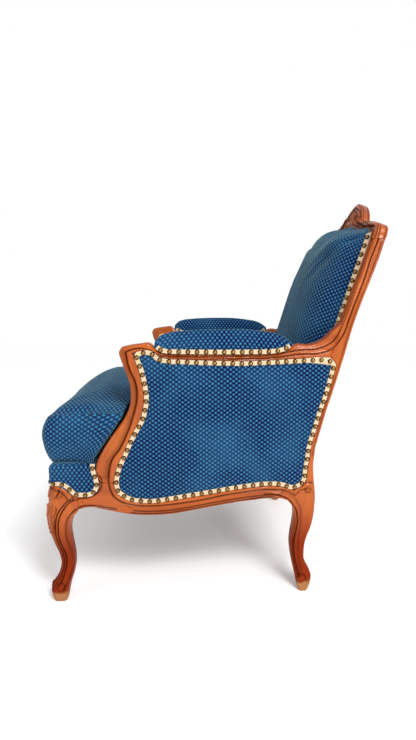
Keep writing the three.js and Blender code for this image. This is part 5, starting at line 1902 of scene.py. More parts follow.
@dataclass
class CrossRails:
    """The front and rear seat rails and the carved crest.

    Attributes:
        proportions: the chair's sizes.
        front_thickness: of the front rail.
        rear_thickness: of the rear rail.
        leg_block: width of a front leg's block, which the front rail ends at.
        post_wide: width of a rear post, which the rear rail ends at.
        face_wide: the part of it in front of the back's coverings.
        step: how far those are let in.
    """

    proportions: Proportions
    front_thickness: float = 0.036
    rear_thickness: float = 0.030
    leg_block: float = 0.066
    post_wide: float = 0.046
    face_wide: float = 0.036
    step: float = 0.008

    def front(self) -> Skin:
        """The front rail with its low middle, moulded edge and small shell.

        Returns:
            The rail's skin.
        """
        sizes = self.proportions
        share = np.linspace(-1.0, 1.0, 330)
        low = sizes.rise(spline_at(FRONT_RAIL, np.abs(share))[:, 0])
        high = sizes.rise(np.interp(np.abs(share), FRONT_RAIL[:, 0], FRONT_RAIL[:, 2]))
        reach = float(sizes.outer_face(0.02, 0.25)) - self.leg_block - sizes.clearance
        x = share * reach
        middle = float(low[len(low) // 2])

        def line(edge: Array, above: float) -> Array:
            """The left half of a line along an edge."""
            points = np.stack([x[::4], edge[::4] + above], axis=1)
            return points[points[:, 0] >= -0.001]

        first, second, top = line(low, 0.0045), line(low, 0.0105), line(high, -0.005)
        ornaments = [
            Stroke(first, width=0.0013), Stroke(second, width=0.0012, lift=-0.0014), Stroke(top, width=0.0013),
            Field((second, top), lift=-0.0022),
            Shell((0.0, middle + 0.012), 0.021, lobes=7, lift=0.005),
            Stroke(scroll((0.031, middle + 0.017), 0.009, 1.3, math.pi, -1), width=0.0022, lift=0.003),
            Stroke(spline(millimetres((37, 22), (50, 15), (66, 17), (84, 12)) + [0, middle], 30), 0.0028, 0.0026),
            Stroke(spline(millimetres((38, 27), (52, 26), (64, 29)) + [0, middle], 20), 0.002, 0.002),
        ]

        def place(across: Array, height: Array, out: Array) -> Array:
            """Points on the front rail's face, at a depth out of it."""
            return sizes.level_place(across, sizes.run(0.006) - out, height)

        bar = Bar(self.front_thickness, columns=60)
        lip = float(sizes.rise(RAIL_TOP)) - high
        return bar.skin(
            np.stack([x, low], axis=1), np.stack([x, high], axis=1), place, Carving(ornaments, mirrored=True), lip
        )

    def rear(self) -> Skin:
        """The plain rear rail, with its edges eased.

        Returns:
            The rail's skin.
        """
        sizes = self.proportions
        back, low, high = float(sizes.run(0.985)), float(sizes.rise(1.03)), float(sizes.rise(RAIL_TOP))
        front, ease = back - self.rear_thickness, 0.0025
        corner = np.linspace(0.0, math.pi / 2, 5)
        section = np.vstack([
            [[front, low]],
            np.stack([back - ease + ease * np.sin(corner), low + ease - ease * np.cos(corner)], axis=1),
            np.stack([back - ease + ease * np.cos(corner), high - ease + ease * np.sin(corner)], axis=1),
            [[front, high]],
        ])
        y, z = section.T
        side = np.linspace(-1.0, 1.0, 24)[:, None]
        reach = sizes.outer_face(y, z) - self.post_wide - sizes.clearance
        return Skin(sizes.level_place(side * reach, y + 0 * side, z + 0 * side))

    def crest_edges(self, count: int) -> tuple[Array, Array]:
        """The crest's upper and lower edge on the back's plane, from right to left.

        Args:
            count: how many points each gets.

        Returns:
            The two edges.
        """
        sizes = self.proportions
        half = np.stack([
            CREST[:, 0] * sizes.shoulder, sizes.rise(CREST[:, 1]), CREST[:, 2] * sizes.shoulder, sizes.rise(CREST[:, 3])
        ], axis=1)
        half[-1, 2] = sizes.shoulder - self.face_wide
        other = half[1:][::-1] * np.array([-1.0, 1.0, -1.0, 1.0])
        rows = spline(np.vstack([other, half]), count)
        return rows[:, :2], rows[:, 2:]

    def crest_ornaments(self, outer: Array, inner: Array) -> Carving:
        """Shell, scrolls and leaves on the front of the crest, between its two beads.

        Args:
            outer: the crest's upper edge.
            inner: its lower edge.

        Returns:
            The ornaments.
        """
        sizes = self.proportions
        right = outer[:, 0] >= -0.002
        along = (inner - outer) / np.linalg.norm(inner - outer, axis=1, keepdims=True)
        top, second = (outer + along * 0.0075)[right], (outer + along * 0.0145)[right]
        foot = (inner - along * 0.006)[right]
        middle = float(sizes.rise(2.86))

        def lift(*rows: Sequence[float]) -> Array:
            """A line of millimetres from the crest's middle."""
            return spline(millimetres(*rows) + [0.0, middle], 40)

        return Carving([
            Stroke(top[::2], width=0.0028, lift=0.0026), Stroke(second[::2], width=0.0014, lift=-0.0018),
            Stroke(foot[::2], width=0.0014, lift=-0.0018),
            Field((second[::2], foot[::2]), lift=-0.0030),
            Shell((0.0, middle - 0.004), 0.034, lobes=9, lift=0.0068),
            Stroke(scroll((0.052, middle + 0.002), 0.013, 1.5, math.pi * 0.5, 1), width=0.0036, lift=0.0046),
            Stroke(scroll((0.088, middle - 0.012), 0.0115, 1.4, math.pi * 1.1, -1), width=0.0032, lift=0.0040),
            Stroke(lift((46, 17), (62, 16), (76, 6), (84, 0)), width=0.0038, lift=0.0040),
            Stroke(lift((98, -10), (112, -14), (128, -17), (146, -24)), width=0.0044, lift=0.0040),
            Stroke(lift((104, -20), (120, -26), (138, -29), (158, -31)), width=0.0032, lift=0.0036),
            Stroke(lift((150, -26), (172, -31), (194, -38), (214, -45)), width=0.0036, lift=0.0040),
            Stroke(lift((160, -35), (184, -41), (208, -50), (228, -62)), width=0.0026, lift=0.0028),
            Stroke(lift((100, -12), (126, -18), (150, -26), (180, -34), (212, -46)), width=0.0011, lift=-0.0022),
            Boss((0.052, middle + 0.002), 0.0042, lift=0.0040), Boss((0.088, middle - 0.012), 0.0038, lift=0.0036),
        ], mirrored=True)

    def crest(self) -> Skin:
        """The crest, carried between its edges on the leaning plane, carved in front and beaded on top.

        Returns:
            The crest's skin.
        """
        sizes = self.proportions
        outer, inner = self.crest_edges(520)
        carving = self.crest_ornaments(outer, inner)
        bar = Bar(sizes.post_depth, round_inner=0.003, rebate=self.step, columns=76, edge_columns=30)
        skin = bar.skin(outer, inner, sizes.back_place, carving, self.post_wide - self.face_wide)
        low = sizes.rise(POST[-1, 0]) + sizes.clearance
        skin.points[..., 2] = np.maximum(skin.points[..., 2], low)
        return skin


@dataclass
class Openings:
    """The openings of the frame that the coverings are tacked in, as plans.

    Attributes:
        proportions: the chair's sizes.
        pad_foot: lower edge of the back pad and of the inner side pads.
        outer_back_foot: height share of the outer back's lower edge.
        face_wide: width of the stile beside the back's coverings.
    """

    proportions: Proportions
    pad_foot: float
    outer_back_foot: float = 1.205
    face_wide: float = 0.036

    def shares(self, rows: Array) -> Array:
        """Depth and height shares as metres."""
        return np.stack([self.proportions.run(rows[:, 0]), self.proportions.rise(rows[:, 1])], axis=1)

    def side(self) -> Array:
        """The outer side panel's outline, from the arm down the support, along the rail and up the post.

        Returns:
            Its corners, depth and height.
        """
        foot = np.array([[0.243, 1.13]])
        rail = SIDE_RAIL[7:-1, [0, 2]]
        parts = [SUPPORT[1:-1, 2:], foot, rail, PANEL_REAR, ARM[1:17, 2:][::-1]]
        return self.shares(np.vstack(parts))

    def inner_side(self) -> Array:
        """The inner side pad's outline: front edge, foot, rear edge and top.

        Returns:
            Its corners, depth and height.
        """
        foot = np.stack([self.proportions.run(INNER_PAD_FOOT), np.full(len(INNER_PAD_FOOT), self.pad_foot)], axis=1)
        shares = self.shares
        return np.vstack([shares(INNER_PAD_FRONT), foot, shares(INNER_PAD_REAR), shares(INNER_PAD_TOP)])

    def half_width(self, height: Array) -> Array:
        """Half the width of the back's opening at a height on its plane."""
        depth = self.proportions.back_place(np.zeros_like(height), height, 0.0)[..., 1] + self.proportions.offset
        return self.proportions.outer_face(depth, height) - self.face_wide

    def top(self, share: Array) -> Array:
        """Height of the crest's lower edge at a share of the opening's half width.

        Args:
            share: the shares, 0 in the middle and 1 at the stile.

        Returns:
            The heights.
        """
        sizes = self.proportions
        across = CREST[:, 2] * sizes.shoulder
        across[-1] = sizes.shoulder - self.face_wide
        return np.interp(np.abs(share) * across[-1], across, sizes.rise(CREST[:, 3]))

    def back(self, foot: float) -> Array:
        """The opening between the posts under the crest, above a foot.

        Args:
            foot: height of its lower edge.

        Returns:
            Its corners, across and up.
        """
        sizes = self.proportions
        half = np.stack([CREST[:, 2] * sizes.shoulder, sizes.rise(CREST[:, 3])], axis=1)
        half[-1, 0] = sizes.shoulder - self.face_wide
        top = np.vstack([(half[1:] * [-1, 1])[::-1], half])
        heights = np.linspace(foot, top[0, 1], 8)[:-1]
        side = np.stack([self.half_width(heights), heights], axis=1)
        bottom = np.stack([np.array([0.6, 0.2, -0.2, -0.6]) * side[0, 0], np.full(4, foot)], axis=1)
        return np.vstack([side * [-1, 1], top, side[::-1], bottom])


@dataclass
class Trim:
    """Braid with brass nails along an edge.

    Attributes:
        maker: makes the pieces.
        braid: the braid's material.
        brass: the nails' material.
        pitch: from one nail to the next.
        radius: of a nail's head.
        thickness: of the braid.
    """

    maker: Maker
    braid: bpy.types.Material
    brass: bpy.types.Material
    pitch: float = 0.0212
    radius: float = 0.0059
    thickness: float = 0.0021

    def ribbon(self, outer: Array, inner: Array, out: Array, looped: bool) -> Skin:
        """A flat tape with soft edges, a touch hollow in its middle, between two matched lines.

        Args:
            outer: one edge.
            inner: the other.
            out: the way out of the surface, at each point.
            looped: whether it closes on itself.

        Returns:
            The tape's skin.
        """
        across = np.array([0.0, 0.03, 0.12, 0.3, 0.42, 0.5, 0.58, 0.7, 0.88, 0.97, 1.0, 0.9, 0.5, 0.1])
        high = np.array([0.0, 0.6, 1.0, 0.95, 0.88, 0.8, 0.88, 0.95, 1.0, 0.6, 0.0, -0.12, -0.12, -0.12])
        points = (
            outer[:, None] + (inner - outer)[:, None] * across[None, :, None]
            + out[:, None] * (high * self.thickness)[None, :, None]
        )
        middle = (outer + inner) / 2
        along = lengths(np.vstack([middle, middle[:1]]) if looped else middle)
        wide = float(np.mean(np.linalg.norm(inner - outer, axis=1)))
        columns = np.append(across, across[0]) * wide
        weave = np.stack(np.broadcast_arrays(along[:, None], columns[None]), axis=-1)
        return Skin(points, looped=looped, weave=weave)

    def heads(self, middle: Array, out: Array, looped: bool) -> tuple[Array, list[list[int]]]:
        """Domed nail heads at equal steps along a line.

        Args:
            middle: the line they stand on.
            out: the way out of the surface at each of its points.
            looped: whether the line closes on itself.

        Returns:
            Points of all heads with their stain, and faces.
        """
        if looped:
            middle, out = np.vstack([middle, middle[:1]]), np.vstack([out, out[:1]])
        along = lengths(middle)
        count = max(int(round(along[-1] / self.pitch)), 1)
        stops = (np.arange(count) + (0.0 if looped else 0.5)) * along[-1] / count
        centre, normal, way = (
            interpolated(rows, along, stops) for rows in (middle, out, np.gradient(middle, along, axis=0))
        )
        normal /= np.linalg.norm(normal, axis=1, keepdims=True)
        way -= normal * np.sum(way * normal, axis=1, keepdims=True)
        way /= np.linalg.norm(way, axis=1, keepdims=True)
        side = np.cross(normal, way)
        sides = 10
        dome = 0.78
        rim = np.array([[1.0, -0.05], [0.97, 0.24], [0.78, 0.5], [0.42, 0.7]]) * self.radius
        angle = np.arange(sides) * 2 * math.pi / sides
        flat = np.stack([np.cos(angle), np.sin(angle)], axis=1)
        ring = centre[:, None, None] + rim[None, :, None, 1:] * normal[:, None, None] + rim[None, :, None, :1] * (
            flat[None, None, :, :1] * way[:, None, None] + flat[None, None, :, 1:] * side[:, None, None]
        )
        crown = centre + normal * dome * self.radius
        points = np.concatenate([ring.reshape(count, -1, 3), crown[:, None]], axis=1)
        rows = len(rim)
        one = np.arange(rows * sides).reshape(rows, sides)
        after = np.roll(one, -1, axis=1)
        quads = np.stack([one[:-1], after[:-1], after[1:], one[1:]], axis=-1).reshape(-1, 4)
        fans = np.stack([one[-1], after[-1], np.full(sides, rows * sides), np.full(sides, -1)], axis=-1)
        template = np.vstack([quads, fans])
        each = template[None] + (np.arange(count) * (rows * sides + 1))[:, None, None]
        each = np.where(template[None] < 0, -1, each)
        faces = [[corner for corner in face if corner >= 0] for face in each.reshape(-1, 4).tolist()]
        stain_and_shade = np.concatenate([np.repeat([1.0, 1.0, 0.55, 0.1], sides), [0.0]])
        return np.column_stack([points.reshape(-1, 3), np.tile(stain_and_shade, count)]), faces

    def lay(
        self, name: str, outer: Array, inner: Array, out: Array, node: str, looped: bool, mirror: bool = False
    ) -> None:
        """Lays a run of braid and drives its nails.

        Args:
            name: the run's name.
            outer: one edge of the braid.
            inner: its other edge.
            out: the way out of the surface, one vector for each point or one for all.
            node: the CAD node it stands for.
            looped: whether it closes on itself.
            mirror: whether to lay it on the sitter's right.
        """
        out = np.broadcast_to(out, outer.shape).astype(float)
        out = out / np.linalg.norm(out, axis=1, keepdims=True)
        braid = self.maker.mesh(f"braid_{name}", self.ribbon(outer, inner, out, looped), mirror)
        self.maker.dress(braid, self.braid, "cream_gimp", [node])
        sunk_to = 0.8
        body, faces = self.heads((outer + inner) / 2 + out * self.thickness * sunk_to, out, looped)
        if mirror:
            body[:, 0] *= -1.0
            faces = [face[::-1] for face in faces]
        self.maker.dress(self.maker.piece(f"nails_{name}", body, faces), self.brass, "nail_brass")


def quilted(
    outline: Array, levels: Sequence[tuple[float, float]], far: float, middle: Array, place: Place,
    counts: tuple[int, int],
) -> Skin:
    """A covered pad: rings stepped in from an outline, then drawn on to its middle.

    Args:
        outline: its plan.
        levels: distances in from the outline, and depths.
        far: how much deeper its middle is than the last level.
        middle: a point that sees the whole outline.
        place: turns the plan's coordinates and a depth into points.
        counts: points round it, and rings from the last level to its middle.

    Returns:
        The pad's skin, its cloth lying flat on the plan.
    """
    count, inner = counts
    rings = list(resampled([inset(outline, distance) for distance, _ in levels], count))
    depths = [np.full(count, depth) for _, depth in levels]
    last, depth = rings[-1], levels[-1][1]
    for share in np.linspace(0.0, 1.0, inner)[1:-1]:
        rings.append(last + (middle - last) * share)
        depths.append(np.full(count, depth + far * (1.0 - (1.0 - share) ** 3)))
    plan = np.stack(rings)
    return Skin(place(plan[..., 0], plan[..., 1], np.stack(depths)), poled=True, weave=plan)


@dataclass
class SideCoverings:
    """The cloth on one side: outer panel, inner pad, arm pad and their braid.

    Attributes:
        proportions: the chair's sizes.
        openings: the outlines they are tacked in.
        thickness: of the arm and rail that they hang between.
        rebate: how deep the outer panel is let in.
        skin: thickness of the covered layer.
        crown: how far it swells.
        gimp: width of the braid.
        inner_thickness: of the inner pad.
        inner_roll: width of its rounded border.
        overhang: of the arm pad beyond the arm.
        centre: depth and height shares of a point that sees the whole outline.
    """

    proportions: Proportions
    openings: Openings
    thickness: float = 0.038
    rebate: float = 0.009
    skin: float = 0.005
    crown: float = 0.0065
    gimp: float = 0.011
    inner_thickness: float = 0.018
    inner_roll: float = 0.026
    overhang: float = 0.001
    centre: tuple[float, float] = (0.66, 1.52)

    @property
    def middle(self) -> Array:
        """The centre in metres."""
        return np.array([float(self.proportions.run(self.centre[0])), float(self.proportions.rise(self.centre[1]))])

    def quilt(self, outline: Array, levels: Sequence[tuple[float, float]], far: float, count: int) -> Skin:
        """A pad on the chair's side, whose middle stands at a depth."""
        return quilted(outline, levels, far - levels[-1][1], self.middle, self.proportions.side_place, (count, 34))

    def outer_panel(self) -> Skin:
        """The outer side: cloth over wadding, flat under its braid and a little full inside it.

        Returns:
            The panel's skin.
        """
        clear = self.proportions.clearance
        base = clear - self.rebate
        face = base + self.skin
        outline = inset(self.openings.side(), clear)
        levels = [
            (0.0, base), (0.0, face - 0.001), (0.001, face), (0.006, face), (self.gimp, face),
            (self.gimp + 0.002, face + 0.0016), (self.gimp + 0.006, face + 0.0032),
        ]
        return self.quilt(outline, levels, face + self.crown, 420)

    def inner_pad(self) -> Skin:
        """The inner side: a stuffed pad with a round border.

        Returns:
            The pad's skin.
        """
        base = -self.thickness - self.proportions.clearance
        turn = np.linspace(0.0, math.pi / 2, 9)
        start = self.inner_thickness * 0.3
        rolled = self.inner_thickness * 0.65
        levels = [(0.0, base), (0.0, base - start)]
        levels += [(self.inner_roll * (1 - math.cos(a)), base - start - rolled * math.sin(a)) for a in turn[1:]]
        far = base - self.inner_thickness
        return self.quilt(self.openings.inner_side(), levels, far, 360)

    def arm_top(self, depth: Array) -> Array:
        """Height of the arm's upper edge at a depth share, over its straight part."""
        return self.proportions.rise(np.interp(depth, ARM[:, 0], ARM[:, 1]))

    def arm_pad(self) -> Skin:
        """The arm pad: an arch carried along the arm, rounded down at both ends.

        Returns:
            The pad's skin.
        """
        sizes = self.proportions
        depth = np.linspace(ARM_PAD[0, 0], ARM_PAD[-1, 0], 170)
        top = sizes.rise(spline_at(ARM_PAD, depth)[:, 0])
        base = self.arm_top(depth) + sizes.clearance
        along = (depth - depth[0]) / (depth[-1] - depth[0])
        end = np.minimum(along, 1.0 - along)
        width = (self.thickness / 2 + self.overhang) * (0.72 + 0.28 * np.sqrt(smoothstep(end, -0.01, 0.045)))
        arch = spline(np.array([
            [-0.92, 0], [-1, 0.3], [-0.88, 0.66], [-0.5, 0.93], [0, 1], [0.5, 0.93], [0.88, 0.66], [1, 0.3], [0.92, 0]
        ]), 54)
        aside = arch[None, :, 0] * width[:, None]
        height = arch[None, :, 1] * (top - base)[:, None]
        y = sizes.run(depth)[:, None] + 0 * aside
        points = sizes.side_place(y, base[:, None] + height, aside - self.thickness / 2)
        girth = np.cumsum(np.hypot(np.diff(aside, axis=1), np.diff(height, axis=1)), axis=1)
        girth = np.hstack([np.zeros((len(depth), 1)), girth])
        girth -= girth[:, -1:] / 2
        weave = np.stack([y, girth], axis=-1)
        weave = np.concatenate([weave, weave[:, :1]], axis=1)
        return Skin(points, weave=weave)

    def dress(
        self, maker: Maker, trim: Trim, flat: bpy.types.Material, upright: bpy.types.Material, mirror: bool
    ) -> None:
        """Makes all of one side's coverings.

        Args:
            maker: makes the pieces.
            trim: lays the braid.
            flat: cloth with its ovals along the chair.
            upright: cloth with its ovals across.
            mirror: whether it is the sitter's right side.
        """
        sizes = self.proportions
        hand = "right" if mirror else "left"
        outwards = sizes.side_place(0.3, 0.4, 1.0) - sizes.side_place(0.3, 0.4, 0.0)
        for name, skin, finish, node in (
            ("outer_side", self.outer_panel(), flat, "outer_side_panel"),
            ("inner_side", self.inner_pad(), flat, "inner_side_pad"),
            ("arm_pad", self.arm_pad(), upright, "arm_pad"),
        ):
            maker.cover(f"{name}_cloth_{hand}", skin, finish, f"{node}_{hand}", mirror)

        def lay(run: str, edges: Sequence[Array], depth: float, out: Array, looped: bool = False) -> None:
            """Lays braid between two lines at a depth out of the side."""
            low, high = (sizes.side_place(edge[:, 0], edge[:, 1], depth) for edge in edges)
            trim.lay(f"{run}_{hand}", low, high, out, f"{run}_gimp_{hand}", looped, mirror)

        clear = sizes.clearance
        outline = self.openings.side()
        edges = resampled([inset(outline, 2 * clear), inset(outline, 2 * clear + self.gimp)], 420)
        lay("outer_side", edges, 2 * clear - self.rebate + self.skin, outwards, True)
        outline = self.openings.inner_side()
        start = len(INNER_PAD_TOP) + 1
        left_out = len(INNER_PAD_FOOT) + len(INNER_PAD_REAR) - 1
        rings = [np.roll(inset(outline, -clear - wide), start, axis=0)[:-left_out] for wide in (self.gimp, 0.0)]
        lay("inner_side", resampled(rings, 150, closed=False), -self.thickness - clear, -outwards)
        depth = np.linspace(ARM_PAD[0, 0] + 0.004, ARM_PAD[-1, 0] - 0.004, 130)
        low = self.arm_top(depth) + clear
        reach = self.thickness / 2 + self.overhang + clear
        slope = np.gradient(low, sizes.run(depth))
        lean = np.stack([-slope, np.ones_like(slope)], axis=1) / np.hypot(slope, 1.0)[:, None]
        edge = np.stack([sizes.run(depth), low], axis=1)
        for face, way in (("outer", 1.0), ("inner", -1.0)):
            lay(f"arm_pad_{face}", (edge, edge + lean * self.gimp), way * reach - self.thickness / 2, way * outwards)


@dataclass
class BackCoverings:
    """The deep inside-back pad, the outer back and their braid.

    Attributes:
        proportions: the chair's sizes.
        openings: the outlines they are tacked in.
        step: how far both are let into the frame.
        border: thickness of the pad under its braid.
        border_wide: width of that flat border.
        crown: how far the pad swells beyond it.
        roll: width of its rounded border.
        top_roll: the same under the crest.
        skin: thickness of the outer back.
        outer_crown: how far the outer back swells.
        gimp: width of the braid.
    """

    proportions: Proportions
    openings: Openings
    step: float = 0.008
    border: float = 0.011
    border_wide: float = 0.013
    crown: float = 0.078
    roll: float = 0.098
    top_roll: float = 0.052
    skin: float = 0.005
    outer_crown: float = 0.004
    gimp: float = 0.011

    def tacked(self, points: Array) -> Array:
        """Whether points lie on the pad's back or under its braid."""
        foot, out = self.proportions.back_place(0.0, 0.6, 0.0), self.proportions.back_place(0.0, 0.6, 1.0)
        return (points - foot) @ (out - foot) < self.border - self.step + 0.006

    def stops(self, span: float) -> Array:
        """Shares across a span, close together over the round border at both ends.

        Args:
            span: its length.

        Returns:
            The shares, from 0 to 1.
        """
        turn = np.linspace(0.0, math.pi / 2, 24)
        edge = np.concatenate([[0.0, self.border_wide / 2], self.border_wide + self.roll * (1 - np.cos(turn))])
        middle = np.linspace(edge[-1], span - edge[-1], max(int((span - 2 * edge[-1]) / 0.006), 4))[1:-1]
        return np.concatenate([edge, middle, span - edge[::-1]]) / span

    def swell(self, inside: Array, roll: float) -> Array:
        """A quarter ellipse of the distance in from the border, flat beyond the roll."""
        share = np.clip((inside - self.border_wide) / roll, 0.0, 1.0)
        return np.sqrt(np.clip(1.0 - (1.0 - share) ** 2, 0.0, 1.0))

    def pad(self) -> Skin:
        """The pad as a net of upright and level lines; its cloth is measured along both.

        Returns:
            The pad's skin.
        """
        sizes, plan = self.proportions, self.openings
        foot = plan.pad_foot
        across = self.stops(2 * float(plan.half_width(np.array(0.6)))) * 2 - 1
        up = self.stops(float(plan.top(np.array(0.0))) - foot)
        u, v = np.meshgrid(across, up)
        top = plan.top(u)
        z = foot + v * (top - foot)
        half = plan.half_width(z)
        x = u * half
        side, low, high = (1 - np.abs(u)) * half, v * (top - foot), (1 - v) * (top - foot)
        full = self.swell(side, self.roll) * self.swell(low, self.roll) * self.swell(high + 0.008, self.top_roll)
        waist, waist_height, fold, fold_aside, fold_height, pleat = 0.075, 0.822, 0.045, 0.135, 0.7, 0.16
        full = full * (1.0 - waist * bell(z, waist_height, 0.06))
        spread = 0.3 * (z - fold_height)
        folds = bell(x + spread, fold_aside, 0.010) + bell(x - spread, -fold_aside, 0.010)
        full = full - fold * folds * smoothstep(low, 0.02, 0.1) * smoothstep(low, 0.30, 0.16) * full
        full = full * (1.0 - pleat * (bell(side - high, 0.0, 0.006) * smoothstep(side, 0.055, 0.02)))
        base = sizes.clearance - self.step
        depth = base + self.border + self.crown * full
        front = sizes.back_place(x, z, depth)
        level, upright = len(up) // 2, len(across) // 2
        over = lengths(np.stack([x[level], depth[level]], axis=1))
        tall = lengths(np.stack([z[:, upright], depth[:, upright]], axis=1))
        weave = np.stack(np.meshgrid(over - over[upright], tall), axis=-1)
        behind = np.linspace(1.0, -1.0, 7)
        rear_x = behind[None, :] * half[:, :1]
        rear_z = np.broadcast_to(z[:, :1], rear_x.shape)
        rear = sizes.back_place(rear_x, rear_z, base)
        points = np.concatenate([front, rear], axis=1)
        cloth = np.concatenate([weave, np.repeat(weave[:, -1:], 7, axis=1), weave[:, :1]], axis=1)
        return Skin(points, weave=cloth)

    def outer(self) -> Skin:
        """The outer back: cloth over wadding between the stiles.

        Returns:
            The panel's skin.
        """
        sizes = self.proportions
        outline = inset(self.openings.back(float(sizes.rise(self.openings.outer_back_foot))), 2 * sizes.clearance)
        base = self.step - sizes.clearance - sizes.post_depth
        face = base - self.skin
        lift = 0.0016
        levels = [(0.0, base), (0.0, face), (0.006, face), (self.gimp, face), (self.gimp + 0.003, face - lift)]
        middle = np.array([0.0, float(sizes.rise(2.05))])
        return quilted(outline, levels, lift - self.outer_crown, middle, sizes.back_place, (320, 30))

    def dress(self, maker: Maker, trim: Trim, flat: bpy.types.Material) -> None:
        """Makes the back's coverings.

        Args:
            maker: makes the pieces.
            trim: lays the braid.
            flat: cloth with its ovals across the chair.
        """
        sizes = self.proportions
        stuff = Stuffing(self.tacked, smaller=0.006).plump
        maker.cover("inside_back_cloth", self.pad(), flat, "back_pad", stuff=stuff)
        maker.cover("outside_back_cloth", self.outer(), flat, "outer_back_panel")
        forwards = sizes.back_place(0.0, 0.6, 1.0) - sizes.back_place(0.0, 0.6, 0.0)
        clear = sizes.clearance
        outline = self.openings.back(self.openings.pad_foot)
        rings = [inset(outline, clear + wide)[:-4] for wide in (0.0, self.gimp * 0.82)]
        edges = resampled(rings, 330, closed=False)
        face = 2 * clear - self.step + self.border
        lifts = (clear, face + 0.0055)
        level = np.abs(np.gradient(edges[0][:, 0])) / np.linalg.norm(np.gradient(edges[0], axis=0), axis=1)
        sunk = 0.006 * smoothstep(level, 0.6, 0.95)
        placed = [sizes.back_place(edge[:, 0], edge[:, 1], lift - sunk) for edge, lift in zip(edges, lifts)]
        inwards = placed[1] - placed[0]
        inwards /= np.linalg.norm(inwards, axis=1, keepdims=True)
        out = forwards[None] - inwards * (inwards @ forwards)[:, None]
        trim.lay("inside_back", placed[0], placed[1], out, "inner_back_gimp", False)
        outline = self.openings.back(float(sizes.rise(self.openings.outer_back_foot)))
        edges = resampled([inset(outline, 3 * clear), inset(outline, 3 * clear + self.gimp)], 400)
        face = self.step - 2 * clear - sizes.post_depth - self.skin
        placed = [sizes.back_place(edge[:, 0], edge[:, 1], face) for edge in edges]
        trim.lay("outside_back", placed[0], placed[1], -forwards, "outer_back_gimp", True)


@dataclass(frozen=True)
class SeatPlan:
    """The seat's plan at any height: ears in front of the arm supports, then in between the side pads.

    Attributes:
        proportions: the chair's sizes.
        front: depth of its front edge.
        corner: radius of its front corners.
        back: depth of its back edge.
        stops: distances from the front corner where it has points.
        margin: how much smaller it is at its sides.
        gap: from the arm supports.
        pad_face: how far in the side pads stand.
    """

    proportions: Proportions
    front: float
    corner: float
    back: float
    stops: tuple[float, ...]
    margin: float = 0.0
    gap: float = 0.003
    pad_face: float = 0.0566

    def support_front(self, height: float) -> float:
        """The depth of the arm support's front edge; under the rail's top it goes straight down."""
        sizes = self.proportions
        return float(np.interp(height, sizes.rise(SUPPORT[::-1, 1]), sizes.run(SUPPORT[::-1, 0])))

    def half(self, height: float) -> Array:
        """The left half, from the middle of the front round to the back.

        Args:
            height: the height.

        Returns:
            Its corners, across and behind the nose of the front leg.
        """
        sizes = self.proportions
        ear = self.support_front(height) - self.gap - self.margin

        def side(y: float) -> float:
            """Half its width at a depth."""
            return float(sizes.outer_face(y, height)) - self.margin

        def inner(y: float) -> float:
            """The same between the side pads."""
            return side(y) - self.pad_face

        angle = np.linspace(0.0, math.pi / 2, 5)
        curve_y = self.front + self.corner * (1 - np.cos(angle))
        curve = [(side(y) - self.corner * (1 - math.sin(a)), y) for y, a in zip(curve_y, angle)]
        front = [(side(self.front) - stop, self.front) for stop in self.stops[::-1]]
        along = [(side(self.front + stop), self.front + stop) for stop in self.stops]
        inside = [(inner(y), y) for y in ear + (self.back - ear) * np.array([0.2, 0.4, 0.6, 0.8, 1.0])]
        ears = [(side(ear), ear), ((side(ear) + inner(ear)) / 2, ear), (inner(ear), ear)]
        return np.array([(0.0, self.front), *front, *curve, *along, *ears, *inside, (inner(self.back) / 2, self.back)])

    def whole(self, height: float, drawn_in: float = 0.0) -> Array:
        """The closed plan, with every edge drawn in by a distance.

        Args:
            height: the height.
            drawn_in: the distance.

        Returns:
            Its corners.
        """
        half = self.half(height)
        other = half[1:][::-1] * [-1.0, 1.0]
        return inset(np.vstack([half, [(0.0, self.back)], other]), drawn_in)


